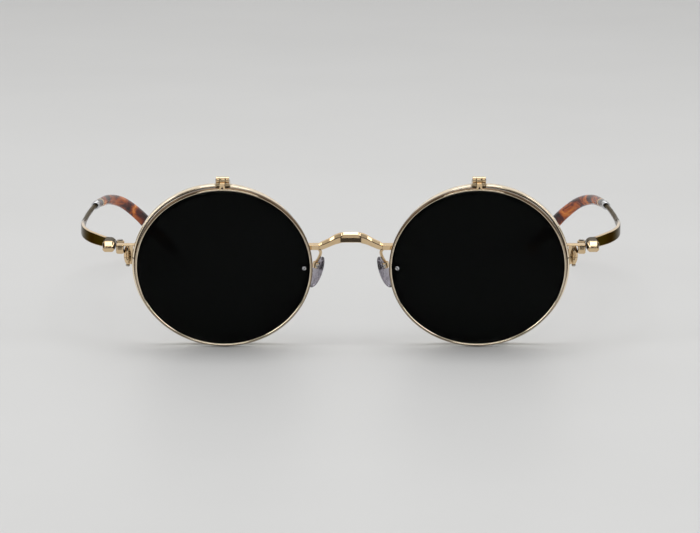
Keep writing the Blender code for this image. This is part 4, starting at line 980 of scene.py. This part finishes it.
# how far back, how far it bows out, how far it curls in, how far it drops, each as a share
temple_rows = (
    (0.025, 0.03, 0.00, 0.00),
    (0.070, 0.29, 0.00, 0.00),
    (0.130, 0.58, 0.00, 0.00),
    (0.205, 0.80, 0.00, 0.00),
    (0.295, 0.92, 0.00, 0.00),
    (0.405, 0.98, 0.00, 0.00),
    (0.540, 1.00, 0.00, 0.00),
    (0.660, 1.00, 0.02, 0.00),
    (0.735, 1.00, 0.10, 0.00),
    (0.800, 1.00, 0.25, 0.01),
    (0.860, 1.00, 0.51, 0.11),
    (0.910, 1.00, 0.84, 0.34),
    (0.955, 1.00, 1.20, 0.66),
    (1.000, 1.00, 1.58, 1.00),
)
strip_start, strip_end, wire_start, ferrule_start, core_end = 0.034, 0.24, 0.42, 0.665, 0.94
shoulder_share, shoulder_steps, block_filing, strip_filing = 0.8, 8, 0.18, 0.28
# the block's end: how far a step stands out, and how much of the section is left there
roof, roof_low, roof_narrow = 0.45 * mm, 0.4 * mm, 0.86
roof_steps = ((roof * 0.3, 0.93), (roof, 0.02))


def temple_line(side):
    """The temple's middle line from its block to the end of its tip, as (share, point) rows."""
    middle = block_inner + temple_block[0] / 2
    points = [Vector((middle, -block_forward, 0)), Vector((middle, 0, 0))]
    for back, out, inward, down in temple_rows:
        x = middle + out * bow - inward * curl
        points.append(Vector((x, back * temple_length, -down * tip_drop)))
    return [(p.y / temple_length, Vector((side * p.x, p.y, p.z))) for p in smooth_rows(points, 10)]


def on_line(line, share):
    """The point of a line at this share of its reach, with the share."""
    for (s0, p0), (s1, p1) in zip(line, line[1:]):
        if s0 <= share <= s1:
            return share, p0.lerp(p1, (share - s0) / (s1 - s0))
    return share, line[-1][1]


def stretch(line, start, end):
    """The part of a line between two shares of the reach, its ends cut exactly there."""
    inside = [(s, p) for s, p in line if start < s < end]
    return [on_line(line, start), *inside, on_line(line, end)]


def temple_size(share):
    """The temple's thickness and height along its length: block, strip, then wire."""
    shoulder = strip_start * shoulder_share
    if share < strip_start * 3:
        thickness = eased_step(share, shoulder, strip_start, temple_block[0], strip[0])
        height = eased_step(share, shoulder, strip_start * 3, temple_block[1], strip[1])
    else:
        thickness = eased_step(share, strip_end, wire_start, strip[0], wire)
        height = eased_step(share, strip_end, wire_start, strip[1], wire)
    return thickness, height


# painted shade: a near-black gold for the temple's block, the strip's sides and the wire
temple_painted_shade = metal("temple_painted_shade", (0.105, 0.085, 0.05), (0.07, 0.055, 0.03), 0.12, 0.24)
shader = temple_painted_shade.node_tree.nodes["Principled BSDF"]
feed(shader, Specular_Tint=(0.34, 0.31, 0.26, 1.0))
for hand, side in hands:
    line = temple_line(side)
    rise = (1 - shoulder_share) / shoulder_steps
    shoulder = [strip_start * (shoulder_share + rise * i) for i in range(shoulder_steps + 1)]
    pieces = stretch(line, line[0][0], core_end)
    rows = [(s, p) for s, p in pieces if not shoulder[0] - 0.002 < s < shoulder[-1] + 0.002]
    rows += [on_line(line, s) for s in shoulder]
    rows.sort(key=lambda row: row[0])
    frames = wire_frames([p for _, p in rows], level=True)
    sections = []
    for share, _ in rows:
        filing = eased_step(share, shoulder[0], strip_start, block_filing, strip_filing)
        sections.append(filed_box(*temple_size(share), filing, 0.2))
    for before, size in roof_steps:
        frames.insert(0, frames[0] @ Matrix.Translation((0, -before, 0)))
        ridge, wide = (1 - size) * -roof_low, roof_narrow + (1 - roof_narrow) * size
        sections.insert(0, [(a * wide, ridge + b * size) for a, b in sections[0]])
    mesh = drawn(frames, sections)
    mesh.normal_update()
    for face in mesh.faces:
        back = face.calc_center_median().y
        on_block = 0.3 * mm - block_forward < back < strip_start * temple_length
        on_wire = back > (strip_end + wire_start) / 2 * temple_length
        on_side = back > 0 and abs(face.normal.z) < 0.5
        # the block, the wire and the strip's sides take the painted shade
        face.material_index = int(on_block or on_wire or on_side)
    how = {"place": temple_place(side), "sharp": 33, "flat": True}
    finish = (gold, temple_painted_shade)
    set_in(mesh, "temple_bar", "temple_arm", hand, "temple", "polished_gold", *finish, **how)


# The ferrules: a silver-coloured turned collar on the wire with fine grooves, a darker sleeve
# behind it that the acetate is pushed into, and a thin gold-coloured ring where they meet.
ferrule_length, ferrule_radius, core_bore = 8.5 * mm, 1.25 * mm, 0.75 * mm
ferrule_end = ferrule_start + ferrule_length / temple_length
gunmetal = metal(
    "sleeve_gunmetal", (0.16, 0.16, 0.17), (0.10, 0.10, 0.11), 0.14, 0.28, (0.02, 0.02, 0.02)
)
# place along the ferrule as a share of its length, radius as a share of its radius
collar_rows = (
    (0.000, 0.78), (0.015, 0.88), (0.045, 0.95), (0.090, 1.00), (0.120, 1.00), (0.130, 0.78),
    (0.175, 0.78), (0.185, 1.00), (0.270, 1.00), (0.280, 0.78), (0.325, 0.78), (0.335, 1.00),
    (0.425, 1.00), (0.445, 0.94),
)
sleeve_rows = (
    (0.435, 0.80), (0.440, 0.88), (0.460, 0.91), (0.680, 0.94), (0.890, 0.96), (0.900, 0.90),
)
ring_rows = (
    (0.895, 0.86), (0.900, 0.98), (0.925, 1.03), (0.965, 1.03), (0.990, 1.00), (1.000, 0.92),
)
# name, rows, finish, slot, and the node that it stands for
ferrule_parts = (
    ("collar", collar_rows, silver, "ferrule_silver", "ferrule"),
    ("dark_sleeve", sleeve_rows, gunmetal, "ferrule_silver", None),
    ("end_ring", ring_rows, gold, "polished_gold", None),
)


def sleeve(line, rows):
    """A turned and bored sleeve round the wire."""
    span = ferrule_end - ferrule_start
    spots = [on_line(line, ferrule_start + span * place)[1] for place, _ in rows]
    mesh = bmesh.new()
    outside, inside = [], []
    for spot, (_, size) in zip(wire_frames(spots), rows):
        for loops, radius in ((outside, ferrule_radius * size), (inside, core_bore)):
            ring = ring_points(radius, 40)
            loops.append([mesh.verts.new(spot @ Vector((a, 0, b))) for a, b in ring])
    for loops in (outside, inside, [outside[0], inside[0]], [outside[-1], inside[-1]]):
        skin(mesh, loops)
    return mesh


for hand, side in hands:
    at = temple_place(side)
    for name, rows, finish, slot, node_name in ferrule_parts:
        mesh = sleeve(temple_line(side), rows)
        set_in(mesh, name, node_name, hand, "temple", slot, finish, place=at, sharp=30)


# The temple tips: tortoiseshell acetate, amber with dark brown streaks, pushed warm over the wire,
# shaped to a rounded paddle and tumbled to a deep gloss.
tip_thickness, tip_height, paddle_height = 2.6 * mm, 2.8 * mm, 4.2 * mm
tip_gap, mouth, mouth_length = 0.02 * mm, ferrule_radius * 2.02, 0.02
tip_steps, end_steps, end_round = 40, 9, 0.82
tortoise_shades = [
    (0.36, (0.022, 0.005, 0.004)),
    (0.47, (0.11, 0.016, 0.007)),
    (0.56, (0.40, 0.088, 0.012)),
    (0.68, (0.66, 0.22, 0.035)),
]
tortoise, tree, shader = new_material("tortoise_acetate")
streaks = noise(tree, 210.0, 3.0, (1.0, 0.42, 1.0), 1.1)
feed(shader, Base_Color=ramp(tree, streaks, tortoise_shades), Specular_IOR_Level=0.35)
feed(shader, Roughness=spread(tree, noise(tree, 500.0), 0.12, 0.22))
feed(shader, Coat_Weight=0.15, Coat_Roughness=0.05)
feed(shader, Subsurface_Weight=0.12, Subsurface_Scale=0.8 * mm)
bump(tree, shader, noise(tree, 260.0, 3.0, (1.0, 0.42, 1.0), 1.1), 0.01 * mm)
for hand, side in hands:
    start = ferrule_end + tip_gap / temple_length
    rows = stretch(temple_line(side), start, 1.0)
    frames = wire_frames([p for _, p in rows], level=True)
    sizes = []
    for share, _ in rows:
        thickness = eased_step(share, start, start + mouth_length, mouth, tip_thickness)
        height = eased_step(share, start, start + mouth_length, mouth, tip_height)
        height += eased_step(share, start, 1.0, 0.0, paddle_height - tip_height)
        sizes.append((thickness, height))
    end, last = frames[-1], sizes[-1]
    for i in range(1, end_steps):
        turn = math.radians(90) * i / end_steps
        beyond = math.sin(turn) * end_round * paddle_height / 2
        frames.append(end @ Matrix.Translation((0, beyond, 0)))
        sizes.append((last[0] * math.cos(turn) ** 0.9, last[1] * math.cos(turn) ** 0.9))
    sections = []
    for thickness, height in sizes:
        points = ring_points(1, tip_steps)
        sections.append([(a * thickness / 2, b * height / 2) for a, b in points])
    mesh, at, slot = drawn(frames, sections), temple_place(side), "tortoise_acetate"
    set_in(mesh, "acetate_tip", "temple_tip", hand, "temple", slot, tortoise, place=at)
